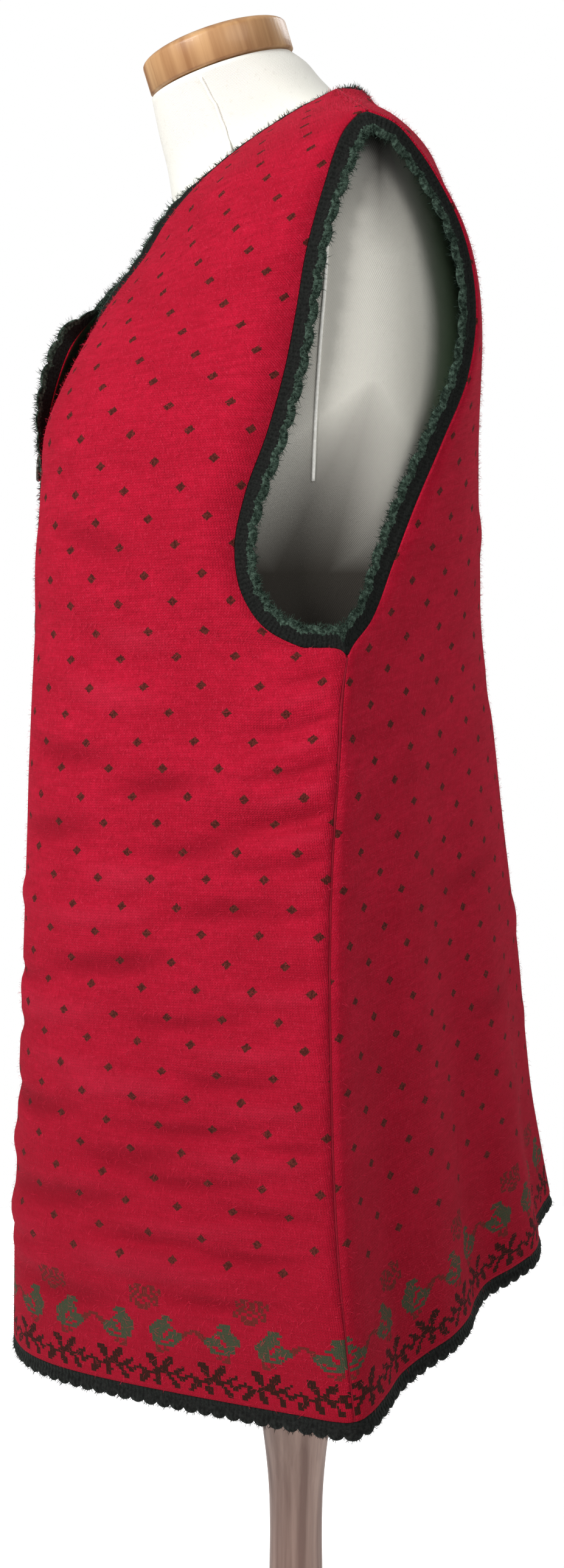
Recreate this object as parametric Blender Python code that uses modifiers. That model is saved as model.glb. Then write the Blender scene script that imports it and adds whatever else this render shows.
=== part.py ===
"""Sleeveless knitted cardigan on a limbless dress form.

Metres, +Z up, origin at the middle of the base's underside. The wearer's front
faces -Y and the wearer's left is +X. Each panel is a grid of points that runs
from the hem to the shoulder seam, and every trim continues a panel's edge.
"""
import math

import bmesh
import bpy
import numpy as np
from mathutils import Vector
from mathutils.bvhtree import BVHTree

# Cloth, seams and trims
CLOTH = 0.0020
TRIM_THICK = 0.0024
SEAM_GAP = 0.0003
REST_GAP = 0.0005
ARM_TRIM_WIDTH = 0.0112
FRONT_TRIM_WIDTH = 0.0112
HEM_TRIM_WIDTH = 0.0095
SCALLOP_PITCH = 0.0100
SCALLOP_DEPTH = 0.0024
SEAM_ROUNDING = 0.0090
SEAM_ROUND_LOW = 0.640
SEAM_ROUND_HIGH = 0.700
MITRE_REACH = 0.030
SNAP_TURN = 0.985
LEAN_SMOOTHING = 2

# Front closing: the right front laps over the left one
LEFT_EDGE_X = -0.012
RIGHT_EDGE_X = -0.006
OVERLAP_LIFT = 0.0048
FLAT_REACH = 0.045
FLAP_LIFT = 0.0030
FLAP_HEIGHT = 0.885
FLAP_CURL = 66.0
FLAP_CURL_START = 0.800

# Grid sizes
FRONT_COLUMNS = 16
BACK_COLUMNS = 15
FORM_COLUMNS = 24
LOWER_STEPS = (2, 2, 2, 4, 3, 1)

# Buttons down the overlap
BUTTON_RADIUS = 0.0080
BUTTON_THICK = 0.0028
BUTTON_GAP = 0.0006
BUTTON_HEIGHTS = (0.815, 0.724, 0.633, 0.542, 0.451, 0.360)
BUTTON_X = -0.0045

# Stand
BASE_RADIUS = 0.108
BASE_THICK = 0.026
CAP_RADIUS = 0.0437
CAP_SIDE = 0.0155
CAP_DOME = 0.0082
CAP_CENTRE = (0.0, -0.0440, 1.0430)
CAP_TILT = 17.4
TURN_STEPS = 32

# Colours, roughness
RED = (0.45, 0.020, 0.045, 1.0)
BLACK_GREEN = (0.018, 0.026, 0.020, 1.0)
BLACK = (0.012, 0.012, 0.012, 1.0)
CREAM = (0.80, 0.78, 0.70, 1.0)
CAP_WOOD = (0.52, 0.30, 0.12, 1.0)
POLE_WOOD = (0.36, 0.25, 0.20, 1.0)
BUTTON_DARK = (0.030, 0.028, 0.026, 1.0)

# Dress form, one loop a row: front point, side point, back point, squareness
# columns: front_y, front_z, side_x, side_y, side_z, back_y, back_z, power
FORM_LOOPS = (
    (-0.098, 0.385, 0.146, 0.000, 0.385, 0.098, 0.385, 2.2),
    (-0.112, 0.395, 0.162, 0.000, 0.395, 0.111, 0.395, 2.2),
    (-0.118, 0.430, 0.169, 0.000, 0.430, 0.116, 0.430, 2.2),
    (-0.112, 0.500, 0.160, 0.000, 0.500, 0.104, 0.500, 2.2),
    (-0.100, 0.560, 0.138, 0.000, 0.560, 0.085, 0.560, 2.2),
    (-0.097, 0.610, 0.127, 0.000, 0.610, 0.075, 0.610, 2.2),
    (-0.108, 0.660, 0.134, 0.000, 0.660, 0.080, 0.660, 2.2),
    (-0.128, 0.710, 0.149, 0.002, 0.710, 0.088, 0.710, 2.3),
    (-0.137, 0.750, 0.159, 0.004, 0.750, 0.093, 0.750, 2.4),
    (-0.140, 0.790, 0.163, 0.007, 0.790, 0.095, 0.790, 2.4),
    (-0.138, 0.825, 0.163, 0.010, 0.825, 0.095, 0.825, 2.4),
    (-0.133, 0.858, 0.162, 0.013, 0.860, 0.095, 0.862, 2.3),
    (-0.124, 0.886, 0.161, 0.015, 0.892, 0.095, 0.894, 2.2),
    (-0.111, 0.907, 0.161, 0.017, 0.917, 0.092, 0.921, 2.1),
    (-0.099, 0.924, 0.163, 0.019, 0.940, 0.086, 0.945, 2.0),
    (-0.088, 0.937, 0.1605, 0.020, 0.957, 0.079, 0.965, 2.0),
    (-0.0825, 0.945, 0.1585, 0.021, 0.969, 0.0715, 0.980, 2.0),
    (-0.079, 0.950, 0.1550, 0.022, 0.979, 0.0655, 0.989, 2.0),
    (-0.0775, 0.954, 0.1480, 0.022, 0.9865, 0.060, 0.997, 2.0),
    (-0.0765, 0.957, 0.134, 0.021, 0.9940, 0.0535, 1.0030, 2.0),
    (-0.075, 0.960, 0.114, 0.019, 1.0025, 0.047, 1.0080, 2.0),
    (-0.074, 0.9625, 0.094, 0.017, 1.0090, 0.041, 1.0120, 2.0),
    (-0.0735, 0.966, 0.077, 0.016, 1.0145, 0.0350, 1.0165, 2.0),
    (-0.0745, 0.974, 0.057, 0.008, 1.0150, 0.0275, 1.0215, 2.0),
    (-0.077, 0.990, 0.048, -0.008, 1.0185, 0.0220, 1.0310, 2.0),
    (-0.0805, 1.004, 0.0445, -0.022, 1.0265, 0.0130, 1.0405, 2.0),
    (-0.083, 1.0155, 0.0430, -0.034, 1.0350, 0.0055, 1.0490, 2.0),
    (-0.0857, 1.0287, 0.0425, -0.0448, 1.0420, -0.0038, 1.0552, 2.0),
)

# Bust: height, half-height, distance from the middle, half-width, depth
BUST = (0.792, 0.036, 0.088, 0.030, 0.014)

# Left front, one row a section: edge at the middle, turning point, outer edge
# columns: in_x, in_y, in_z, turn_x, turn_y, turn_z, out_x, out_y, out_z, weight
FRONT_ROWS = (
    (-0.012, -0.163, 0.3032, 0.115, -0.190, 0.3040, 0.248, 0.0115, 0.325, 3.0),
    (-0.012, -0.158, 0.3842, 0.114, -0.190, 0.3811, 0.2325, 0.0045, 0.400, 2.8),
    (-0.012, -0.152, 0.4894, 0.112, -0.186, 0.4870, 0.220, 0.0010, 0.500, 2.6),
    (-0.012, -0.147, 0.5938, 0.110, -0.181, 0.5924, 0.207, 0.0020, 0.600, 2.5),
    (-0.012, -0.144, 0.6563, 0.109, -0.179, 0.6555, 0.1995, 0.0060, 0.660, 2.4),
    (-0.012, -0.142, 0.6985, 0.108, -0.177, 0.6980, 0.194, 0.0080, 0.700, 2.3),
    (-0.012, -0.141, 0.722, 0.108, -0.176, 0.7220, 0.191, 0.0105, 0.7185, 2.2),
    (-0.012, -0.141, 0.735, 0.108, -0.175, 0.7350, 0.1815, -0.0130, 0.7225, 2.1),
    (-0.012, -0.141, 0.750, 0.108, -0.174, 0.7500, 0.1745, -0.0310, 0.7320, 2.0),
    (-0.012, -0.141, 0.766, 0.108, -0.173, 0.7650, 0.1700, -0.0420, 0.7490, 1.9),
    (-0.012, -0.141, 0.785, 0.110, -0.171, 0.7840, 0.1685, -0.0455, 0.7720, 1.7),
    (-0.012, -0.140, 0.808, 0.112, -0.1705, 0.8070, 0.1690, -0.0400, 0.8000, 1.55),
    (-0.012, -0.138, 0.835, 0.115, -0.1690, 0.8340, 0.1690, -0.0290, 0.8300, 1.5),
    (-0.012, -0.133, 0.862, 0.117, -0.1510, 0.8640, 0.1680, -0.0190, 0.8650, 1.35),
    (-0.010, -0.126, 0.885, 0.117, -0.128, 0.8900, 0.167, -0.0130, 0.8950, 1.2),
    (0.010, -0.117, 0.9010, 0.117, -0.110, 0.9120, 0.1660, -0.0085, 0.9210, 1.1),
    (0.0285, -0.106, 0.9180, 0.117, -0.093, 0.9310, 0.1655, -0.0030, 0.9420, 1.1),
    (0.037, -0.092, 0.9350, 0.117, -0.073, 0.9500, 0.1650, 0.0020, 0.9580, 1.1),
    (0.046, -0.076, 0.9530, 0.117, -0.053, 0.9660, 0.1650, 0.0065, 0.9720, 1.1),
    (0.055, -0.056, 0.9720, 0.117, -0.032, 0.9810, 0.1650, 0.0110, 0.9820, 1.1),
    (0.0625, -0.034, 0.9912, 0.117, -0.012, 0.9950, 0.1650, 0.0150, 0.9870, 1.1),
    (0.069, -0.008, 1.0075, 0.118, 0.004, 1.0020, 0.1650, 0.0185, 0.9900, 1.1),
    (0.075, 0.0160, 1.0195, 0.120, 0.0188, 1.0055, 0.1650, 0.0225, 0.9914, 1.0),
)

# Back, half of each row: centre back, turning point, outer edge
BACK_ROWS = (
    (0.0, 0.1630, 0.3540, 0.055, 0.1590, 0.3530, 0.248, 0.0121, 0.325, 1.0),
    (0.0, 0.1495, 0.422, 0.060, 0.1475, 0.4210, 0.2325, 0.0051, 0.400, 1.1),
    (0.0, 0.1385, 0.514, 0.065, 0.1375, 0.5130, 0.220, 0.0016, 0.500, 1.2),
    (0.0, 0.1245, 0.608, 0.072, 0.1260, 0.6070, 0.207, 0.0026, 0.600, 1.3),
    (0.0, 0.1165, 0.664, 0.077, 0.1190, 0.6630, 0.1995, 0.0066, 0.660, 1.4),
    (0.0, 0.1100, 0.702, 0.080, 0.1130, 0.7020, 0.194, 0.0086, 0.700, 1.5),
    (0.0, 0.1070, 0.720, 0.085, 0.1105, 0.7200, 0.191, 0.0111, 0.7185, 1.5),
    (0.0, 0.1050, 0.742, 0.090, 0.1090, 0.7410, 0.1795, 0.0240, 0.7350, 1.5),
    (0.0, 0.1030, 0.772, 0.095, 0.1075, 0.7710, 0.169, 0.0370, 0.7650, 1.4),
    (0.0, 0.1005, 0.800, 0.100, 0.1055, 0.7990, 0.1605, 0.0495, 0.7950, 1.3),
    (0.0, 0.0985, 0.832, 0.100, 0.1035, 0.8300, 0.156, 0.0640, 0.8280, 1.2),
    (0.0, 0.0972, 0.864, 0.100, 0.1010, 0.8620, 0.153, 0.0770, 0.8600, 1.1),
    (0.0, 0.0962, 0.896, 0.100, 0.0985, 0.8930, 0.151, 0.0815, 0.8900, 1.0),
    (0.0, 0.0935, 0.923, 0.095, 0.0950, 0.9200, 0.1505, 0.0795, 0.9150, 1.0),
    (0.0, 0.0870, 0.948, 0.092, 0.0880, 0.9450, 0.152, 0.0725, 0.9380, 1.0),
    (0.0, 0.0790, 0.968, 0.090, 0.0770, 0.9660, 0.155, 0.0620, 0.9570, 1.0),
    (0.0, 0.0715, 0.987, 0.085, 0.0610, 0.9850, 0.159, 0.0490, 0.9745, 1.1),
    (0.0, 0.0585, 1.0020, 0.080, 0.0400, 1.0030, 0.1635, 0.0360, 0.9865, 1.3),
)

# Back neck from the centre to the neck point, then the shoulder seam
BACK_NECK = ((0.0, 0.0460, 1.0115), (0.030, 0.0430, 1.0125), (0.056, 0.0330, 1.0160),
             (0.075, 0.0164, 1.0195))
SHOULDER_TIP = (0.1650, 0.0229, 0.9914)

# Way the trims run in at the neck point
NECK_MITRE = (-0.97, 0.06, 0.06)

# Vertical folds in the back: x at the hem, x at the top, lowest and highest
# reach, half-width, depth at the hem
BACK_FOLDS = (
    (0.205, 0.165, 0.300, 0.760, 0.016, -0.0050),
    (0.165, 0.150, 0.300, 0.800, 0.018, 0.0040),
    (0.118, 0.125, 0.300, 0.760, 0.018, -0.0050),
    (0.080, 0.095, 0.300, 0.640, 0.020, 0.0090),
    (0.030, 0.045, 0.300, 0.600, 0.018, -0.0050),
)

# Level creases in the fronts near the side seam: height at the seam, drop to
# the front, reach from the seam, half-height, depth
FRONT_CREASES = (
    (0.698, 0.010, 0.080, 0.0085, 0.0030),
    (0.676, 0.004, 0.105, 0.0080, -0.0026),
    (0.655, 0.008, 0.095, 0.0085, 0.0034),
    (0.632, 0.000, 0.110, 0.0085, -0.0030),
    (0.610, 0.006, 0.100, 0.0090, 0.0030),
    (0.585, 0.000, 0.080, 0.0110, -0.0022),
)

# Bend of the armhole trim away from its panel, in degrees inward
ARM_BEND_FRONT = -2.0
ARM_BEND_TOP = -48.0
ARM_BEND_BACK = -38.0
ARM_BEND_BOTTOM = -14.0

# Pole radius down its outer side: height, radius
POLE_PROFILE = ((0.3847, 0.050), (0.365, 0.052), (0.310, 0.0410), (0.255, 0.0310), (0.205, 0.0230),
                (0.160, 0.0182), (0.100, 0.0175), (0.052, 0.0198), (0.036, 0.0240), (0.0263, 0.0250))


def clear_scene():
    for thing in list(bpy.data.objects):
        bpy.data.objects.remove(thing, do_unlink=True)


def make_material(name, colour, roughness):
    material = bpy.data.materials.new(name)
    material.use_nodes = True
    shader = material.node_tree.nodes["Principled BSDF"]
    shader.inputs["Base Color"].default_value = colour
    shader.inputs["Roughness"].default_value = roughness
    shader.inputs["Metallic"].default_value = 0.0
    material.diffuse_color = colour
    return material


def smooth_step(low, high, value):
    share = min(1.0, max(0.0, (value - low) / (high - low)))
    return share * share * (3.0 - 2.0 * share)


def bump(offset, half_width):
    """A soft rise that is 1 in the middle and 0 past its half-width times two."""
    share = abs(offset) / (2.0 * half_width)
    if share >= 1.0:
        return 0.0
    return (1.0 - share * share) ** 2


def resample(points, stops):
    """Points at given distances along a polyline."""
    steps = np.linalg.norm(np.diff(points, axis=0), axis=1)
    along = np.concatenate(([0.0], np.cumsum(steps)))
    return np.stack([np.interp(stops, along, points[:, axis]) for axis in range(3)], axis=1)


def length_of(points):
    return float(np.linalg.norm(np.diff(points, axis=0), axis=1).sum())


def section_curve(row, edge_x):
    """One section as a weighted curve from the inner edge past the turning point."""
    in_x, in_y, in_z, turn_x, turn_y, turn_z, out_x, out_y, out_z, weight = row
    if edge_x is not None and in_x < 0.0:
        in_x = edge_x * in_x / LEFT_EDGE_X
    inner = np.array((in_x, in_y, in_z))
    turn = np.array((turn_x, turn_y, turn_z))
    outer = np.array((out_x, out_y, out_z))
    share = np.linspace(0.0, 1.0, 81)[:, None]
    start = (1.0 - share) ** 2
    middle = 2.0 * share * (1.0 - share) * weight
    finish = share ** 2
    return (start * inner + middle * turn + finish * outer) / (start + middle + finish)


def column_stops(length, columns, near_seam):
    """Distances of the columns along a row, closer together beside the side seam."""
    even = np.linspace(0.0, length, columns + 1)
    if near_seam <= 0.0:
        return even
    close = np.linspace(0.0, length - SEAM_ROUNDING, columns - 1)
    close = np.concatenate((close, (length - 0.45 * SEAM_ROUNDING, length)))
    return close * near_seam + even * (1.0 - near_seam)


def key_grid(rows, columns, edge_x=None):
    """Every table row as a row of points, with the same number of columns."""
    grid = []
    for index, row in enumerate(rows):
        curve = section_curve(row, edge_x)
        near_seam = 1.0 if index <= 6 else max(0.0, 1.0 - 0.5 * (index - 6))
        grid.append(resample(curve, column_stops(length_of(curve), columns, near_seam)))
    return grid


def back_top_row(columns):
    """Back neck to the neck point in the first columns, the shoulder seam in the rest."""
    neck = np.array(BACK_NECK)
    share = np.linspace(0.0, 1.0, 41)
    fine = np.stack([np.interp(share, np.linspace(0.0, 1.0, len(neck)), neck[:, axis]) for axis in range(3)], 1)
    shoulder_columns = FRONT_COLUMNS // 2
    neck_columns = columns - shoulder_columns
    neck_part = resample(fine, np.linspace(0.0, length_of(fine), neck_columns + 1))
    share = np.linspace(0.0, 1.0, shoulder_columns + 1)[1:, None]
    shoulder_part = neck[-1] * (1.0 - share) + np.array(SHOULDER_TIP) * share
    return np.concatenate((neck_part, shoulder_part))


def through_rows(keys, stations):
    """A smooth surface through the key rows, read at the given row numbers."""
    keys = np.array(keys)
    last = len(keys) - 1
    rows = []
    for station in stations:
        low = min(int(station), last - 1)
        share = station - low
        before = keys[low - 1] if low > 0 else 2.0 * keys[0] - keys[1]
        after = keys[low + 2] if low + 2 <= last else 2.0 * keys[last] - keys[last - 1]
        here = keys[low]
        there = keys[low + 1]
        gap_before = np.linalg.norm(here - before, axis=1).mean()
        gap_here = np.linalg.norm(there - here, axis=1).mean()
        gap_after = np.linalg.norm(after - there, axis=1).mean()
        slope_here = ((here - before) / gap_before * gap_here + (there - here) / gap_here * gap_before)
        slope_here = slope_here / (gap_before + gap_here) * gap_here
        slope_there = ((there - here) / gap_here * gap_after + (after - there) / gap_after * gap_here)
        slope_there = slope_there / (gap_after + gap_here) * gap_here
        square = share * share
        cube = square * share
        rows.append((2 * cube - 3 * square + 1) * here + (cube - 2 * square + share) * slope_here
                    + (3 * square - 2 * cube) * there + (cube - square) * slope_there)
    return np.array(rows)


def row_stations(last):
    stations = [0.0]
    for index in range(last):
        steps = LOWER_STEPS[index] if index < len(LOWER_STEPS) else 1
        stations += [index + (step + 1) / steps for step in range(steps)]
    return stations


def flatten_middle(grid, stations):
    """Levels the closing so that the two fronts lap flat over each other."""
    out = grid.copy()
    for row, station in enumerate(stations):
        amount = 1.0 - smooth_step(13.5, 15.5, station)
        line = grid[row]
        if amount <= 0.0 or line[0, 0] > FLAT_REACH:
            continue
        y_there, y_before = np.interp((FLAT_REACH, FLAT_REACH - 0.006), line[:, 0], line[:, 1])
        slope = (y_there - y_before) / 0.006
        for column in range(line.shape[0]):
            x = line[column, 0]
            if x < FLAT_REACH:
                bow = slope * (max(x, 0.0) ** 2 / FLAT_REACH - FLAT_REACH) / 2.0
                out[row, column, 1] += (y_there + bow - line[column, 1]) * amount
    return out


def round_side_seam(front, back, seam_rows):
    """Turns both panels into one rounded corner where they meet at the side."""
    for row in range(seam_rows):
        roundness = 1.0 - smooth_step(SEAM_ROUND_LOW, SEAM_ROUND_HIGH, front[row, -1, 2])
        corner = 0.5 * (front[row, -1] + back[row, -1])
        front_start = front[row, -3].copy()
        back_start = back[row, -3].copy()
        for panel, start, other in ((front, front_start, back_start), (back, back_start, front_start)):
            for column in (-2, -1):
                distance = np.linalg.norm(panel[row, column] - corner)
                share = 0.5 * (1.0 - min(1.0, distance / SEAM_ROUNDING))
                turned_in = (1 - share) ** 2 * start + 2 * share * (1 - share) * corner + share ** 2 * other
                panel[row, column] += (turned_in - panel[row, column]) * roundness
        half_gap = 0.5 * SEAM_GAP
        along = front[row, -1] - front[row, -2]
        front[row, -1] = front[row, -1] - along / np.linalg.norm(along) * half_gap
        along = back[row, -1] - back[row, -2]
        back[row, -1] = back[row, -1] - along / np.linalg.norm(along) * half_gap


def grid_normals(grid):
    """Unit normals of a grid of points, pointing out of the cardigan."""
    down = np.gradient(grid, axis=0)
    across = np.gradient(grid, axis=1)
    normals = np.cross(across, down)
    normals /= np.maximum(np.linalg.norm(normals, axis=2, keepdims=True), 1e-9)
    outward = grid - np.array((0.0, 0.01, 0.0))
    outward[:, :, 2] = 0.0
    if float((normals[:8] * outward[:8]).sum()) < 0.0:
        normals = -normals
    return normals


def fold_back(half):
    """Vertical folds in the back, the same number on each side."""
    normals = grid_normals(half)
    out = half.copy()
    for row in range(half.shape[0]):
        for column in range(half.shape[1]):
            x, _, z = half[row, column]
            edge_fade = smooth_step(0.0, 0.030, abs(half[row, -1, 0] - x))
            depth = 0.0
            for hem_x, top_x, low, high, width, size in BACK_FOLDS:
                share = (z - low) / (high - low)
                centre = hem_x + (top_x - hem_x) * share
                depth += size * bump(x - centre, width) * (1.0 - smooth_step(0.1, 1.0, share))
            out[row, column] += normals[row, column] * depth * edge_fade
    return out


def fold_front(panel):
    """Level creases beside the side seam."""
    normals = grid_normals(panel)
    out = panel.copy()
    for row in range(panel.shape[0]):
        reach_from = np.linalg.norm(panel[row] - panel[row, -1], axis=1)
        for column in range(panel.shape[1]):
            z = panel[row, column, 2]
            distance = reach_from[column]
            depth = 0.0
            for height, drop, reach, width, size in FRONT_CREASES:
                centre = height - drop * distance / reach
                side = smooth_step(0.0, 0.022, distance) * (1.0 - smooth_step(0.45 * reach, reach, distance))
                depth += size * bump(z - centre, width) * side
            out[row, column] += normals[row, column] * depth
    return out


def form_loop(loop):
    front_y, front_z, side_x, side_y, side_z, back_y, back_z, power = loop
    points = []
    for index in range(FORM_COLUMNS):
        angle = 2.0 * math.pi * index / FORM_COLUMNS
        across = math.sin(angle)
        along = math.cos(angle)
        x = side_x * math.copysign(abs(across) ** (2.0 / power), across)
        pull = abs(along) ** (2.0 / power)
        end_y, end_z = (front_y, front_z) if along > 0.0 else (back_y, back_z)
        y = side_y + (end_y - side_y) * pull
        z = side_z + (end_z - side_z) * pull
        if along > 0.0:
            height, half_height, distance, half_width, depth = BUST
            y -= depth * bump(z - height, half_height) * bump(abs(x) - distance, half_width)
        points.append((x, y, z))
    return points


def mesh_object(name, vertices, faces, material, collection, smooth=True):
    mesh = bpy.data.meshes.new(name)
    mesh.from_pydata([tuple(vertex) for vertex in vertices], [], faces)
    mesh.materials.append(material)
    for polygon in mesh.polygons:
        polygon.use_smooth = smooth
    mesh.update()
    thing = bpy.data.objects.new(name, mesh)
    collection.objects.link(thing)
    return thing


def build_form(collection, material):
    vertices = []
    for loop in FORM_LOOPS:
        vertices += form_loop(loop)
    faces = []
    for row in range(len(FORM_LOOPS) - 1):
        for column in range(FORM_COLUMNS):
            beside = (column + 1) % FORM_COLUMNS
            low = row * FORM_COLUMNS
            high = low + FORM_COLUMNS
            if column < FORM_COLUMNS // 2:
                faces.append((low + beside, low + column, high + column))
                faces.append((low + beside, high + column, high + beside))
            else:
                faces.append((low + beside, low + column, high + beside))
                faces.append((low + column, high + column, high + beside))
    faces.append(tuple(range(FORM_COLUMNS)))
    top = (len(FORM_LOOPS) - 1) * FORM_COLUMNS
    faces.append(tuple(top + column for column in reversed(range(FORM_COLUMNS))))
    thing = mesh_object("form_body", vertices, faces, material, collection)
    shell = bmesh.new()
    shell.from_mesh(thing.data)
    bmesh.ops.triangulate(shell, faces=[face for face in shell.faces if len(face.verts) > 4])
    bmesh.ops.recalc_face_normals(shell, faces=shell.faces)
    shell.to_mesh(thing.data)
    tree = BVHTree.FromBMesh(shell)
    shell.free()
    return thing, tree


def lift_from_form(grid, tree, gap, hug=None, held=()):
    """Moves a grid out of the form until its points, edges and faces are clear."""
    rows, columns, _ = grid.shape
    out = grid.copy()
    if hug is not None:
        for row in range(rows):
            for column in range(columns):
                share = hug(out[row, column])
                if share <= 0.0:
                    continue
                spot, normal, _, _ = tree.find_nearest(Vector(out[row, column]))
                target = np.array(spot + normal * gap)
                out[row, column] += (target - out[row, column]) * share
    fixed = {row % rows for row in held}
    shares = np.linspace(0.0, 1.0, 5)
    for _ in range(14):
        push = np.zeros_like(out)
        for row in range(rows - 1):
            for column in range(columns - 1):
                corners = ((row, column), (row, column + 1), (row + 1, column), (row + 1, column + 1))
                a, b, c, d = (out[corner] for corner in corners)
                probes = []
                for up in shares:
                    if (row in fixed and up < 0.2) or (row + 1 in fixed and up > 0.8):
                        continue
                    left_side = a + (c - a) * up
                    right_side = b + (d - b) * up
                    probes += [left_side + (right_side - left_side) * share for share in shares]
                probes += [a + (d - a) * share for share in shares[1:4]]
                probes += [b + (c - b) * share for share in shares[1:4]]
                for probe in probes:
                    point = Vector(probe)
                    spot, normal, _, _ = tree.find_nearest(point)
                    away = point - spot
                    depth = gap - math.copysign(away.length, away.dot(normal))
                    if depth <= 0.0 or depth > 0.06:
                        continue
                    for corner in corners:
                        if np.linalg.norm(push[corner]) < depth:
                            push[corner] = np.array(normal) * depth
        for row in held:
            push[row] = 0.0
        if not push.any():
            break
        out += push * 1.02
    return out


def grid_faces(rows, columns, flip=False):
    faces = []
    for row in range(rows - 1):
        for column in range(columns - 1):
            low = row * columns + column
            quad = (low, low + 1, low + columns + 1, low + columns)
            faces.append(tuple(reversed(quad)) if flip else quad)
    return faces


def shell_object(name, grid, thickness, material, collection, flip):
    """An open grid given its wall outward."""
    rows, columns, _ = grid.shape
    thing = mesh_object(name, grid.reshape(-1, 3), grid_faces(rows, columns, flip), material, collection)
    wall = thing.modifiers.new("wall", "SOLIDIFY")
    wall.thickness = thickness
    wall.offset = 1.0
    wall.use_even_offset = True
    return thing


def mirror_x(grid):
    out = grid.copy()
    out[:, :, 0] *= -1.0
    return out


def trim_strip(path, normals, width, closed, bends, tree=None, first_across=None, last_across=None):
    """Two rows of points: one beside the panel's edge, one along the scallops."""
    points = np.array(path)
    if closed:
        points = np.concatenate((points, points[:1]))
        normals = np.concatenate((normals, normals[:1]))
    total = length_of(points)
    scallops = max(1, round(total / SCALLOP_PITCH))
    count = 2 * scallops + (0 if closed else 1)
    stops = np.linspace(0.0, total, 2 * scallops + 1)[:count].copy()
    steps = np.linalg.norm(np.diff(points, axis=0), axis=1)
    along = np.concatenate(([0.0], np.cumsum(steps)))
    for index in range(1, len(points) - 1):
        before = points[index] - points[index - 1]
        after = points[index + 1] - points[index]
        turn = before.dot(after) / (np.linalg.norm(before) * np.linalg.norm(after))
        if turn < SNAP_TURN:
            stops[int(np.argmin(np.abs(stops - along[index])))] = along[index]
    where = resample(points, stops)
    facing = np.stack([np.interp(stops, along, np.array(normals)[:, axis]) for axis in range(3)], 1)
    facing /= np.linalg.norm(facing, axis=1, keepdims=True)
    bend = np.radians(np.interp(stops, along, bends))
    if closed:
        forward = np.roll(where, -1, axis=0) - np.roll(where, 1, axis=0)
    else:
        forward = np.gradient(where, axis=0)
    forward /= np.linalg.norm(forward, axis=1, keepdims=True)
    across = np.cross(forward, facing)
    across /= np.linalg.norm(across, axis=1, keepdims=True)
    for _ in range(3 if closed else 0):
        across = np.roll(across, 1, axis=0) + 2.0 * across + np.roll(across, -1, axis=0)
        across /= np.linalg.norm(across, axis=1, keepdims=True)
    for wanted, distance in ((first_across, stops), (last_across, total - stops)):
        if wanted is not None:
            share = np.array([1.0 - smooth_step(0.0, MITRE_REACH, value) for value in distance])[:, None]
            across = across * (1.0 - share) + np.array(wanted) * share
            across /= np.linalg.norm(across, axis=1, keepdims=True)
    facing = np.cross(across, forward)
    facing /= np.linalg.norm(facing, axis=1, keepdims=True)
    lean = across * np.cos(bend)[:, None] + facing * np.sin(bend)[:, None]
    for _ in range(LEAN_SMOOTHING if closed else 0):
        lean = np.roll(lean, 1, axis=0) + 2.0 * lean + np.roll(lean, -1, axis=0)
        lean /= np.linalg.norm(lean, axis=1, keepdims=True)
    start = SEAM_GAP + TRIM_THICK * np.sin(np.maximum(bend, 0.0))
    reach = np.full(count, width)
    reach[0::2] -= 0.6 * SCALLOP_DEPTH
    reach[1::2] += 0.4 * SCALLOP_DEPTH
    near = where + across * start[:, None]
    far = near + lean * (reach - SEAM_GAP)[:, None]
    grid = np.stack((near, far))
    if tree is not None:
        grid = lift_from_form(grid, tree, REST_GAP, held=(0,))
        rise = grid[1] - grid[0]
        rise /= np.linalg.norm(rise, axis=1, keepdims=True)
        rise = np.maximum((rise * facing).sum(axis=1) - np.sin(np.maximum(bend, 0.0)), 0.0)
        grid += across[None, :, :] * (1.7 * TRIM_THICK * rise)[None, :, None]
        grid = lift_from_form(grid, tree, REST_GAP, held=(0,))
    return grid


def build_trim(name, grid, closed, flip, material, collection):
    rows, columns, _ = grid.shape
    faces = grid_faces(rows, columns, flip)
    if closed:
        for row in range(rows - 1):
            low = row * columns
            quad = (low + columns - 1, low, low + columns, low + 2 * columns - 1)
            faces.append(tuple(reversed(quad)) if flip else quad)
    thing = mesh_object(name, grid.reshape(-1, 3), faces, material, collection, smooth=False)
    wall = thing.modifiers.new("wall", "SOLIDIFY")
    wall.thickness = TRIM_THICK
    wall.offset = 1.0
    wall.use_even_offset = False
    return thing


def turned(name, profile, material, collection, steps=TURN_STEPS):
    """A turned solid: the profile runs down its outer side from top to bottom."""
    mesh = bpy.data.meshes.new(name)
    points = [(0.0, 0.0, profile[0][0])]
    points += [(radius, 0.0, height) for height, radius in profile]
    points.append((0.0, 0.0, profile[-1][0]))
    mesh.from_pydata(points, [(index, index + 1) for index in range(len(points) - 1)], [])
    mesh.materials.append(material)
    thing = bpy.data.objects.new(name, mesh)
    collection.objects.link(thing)
    screw = thing.modifiers.new("turn", "SCREW")
    screw.axis = "Z"
    screw.steps = steps
    screw.render_steps = steps
    screw.use_merge_vertices = True
    screw.merge_threshold = 0.00001
    screw.use_smooth_shade = True
    return thing


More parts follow.
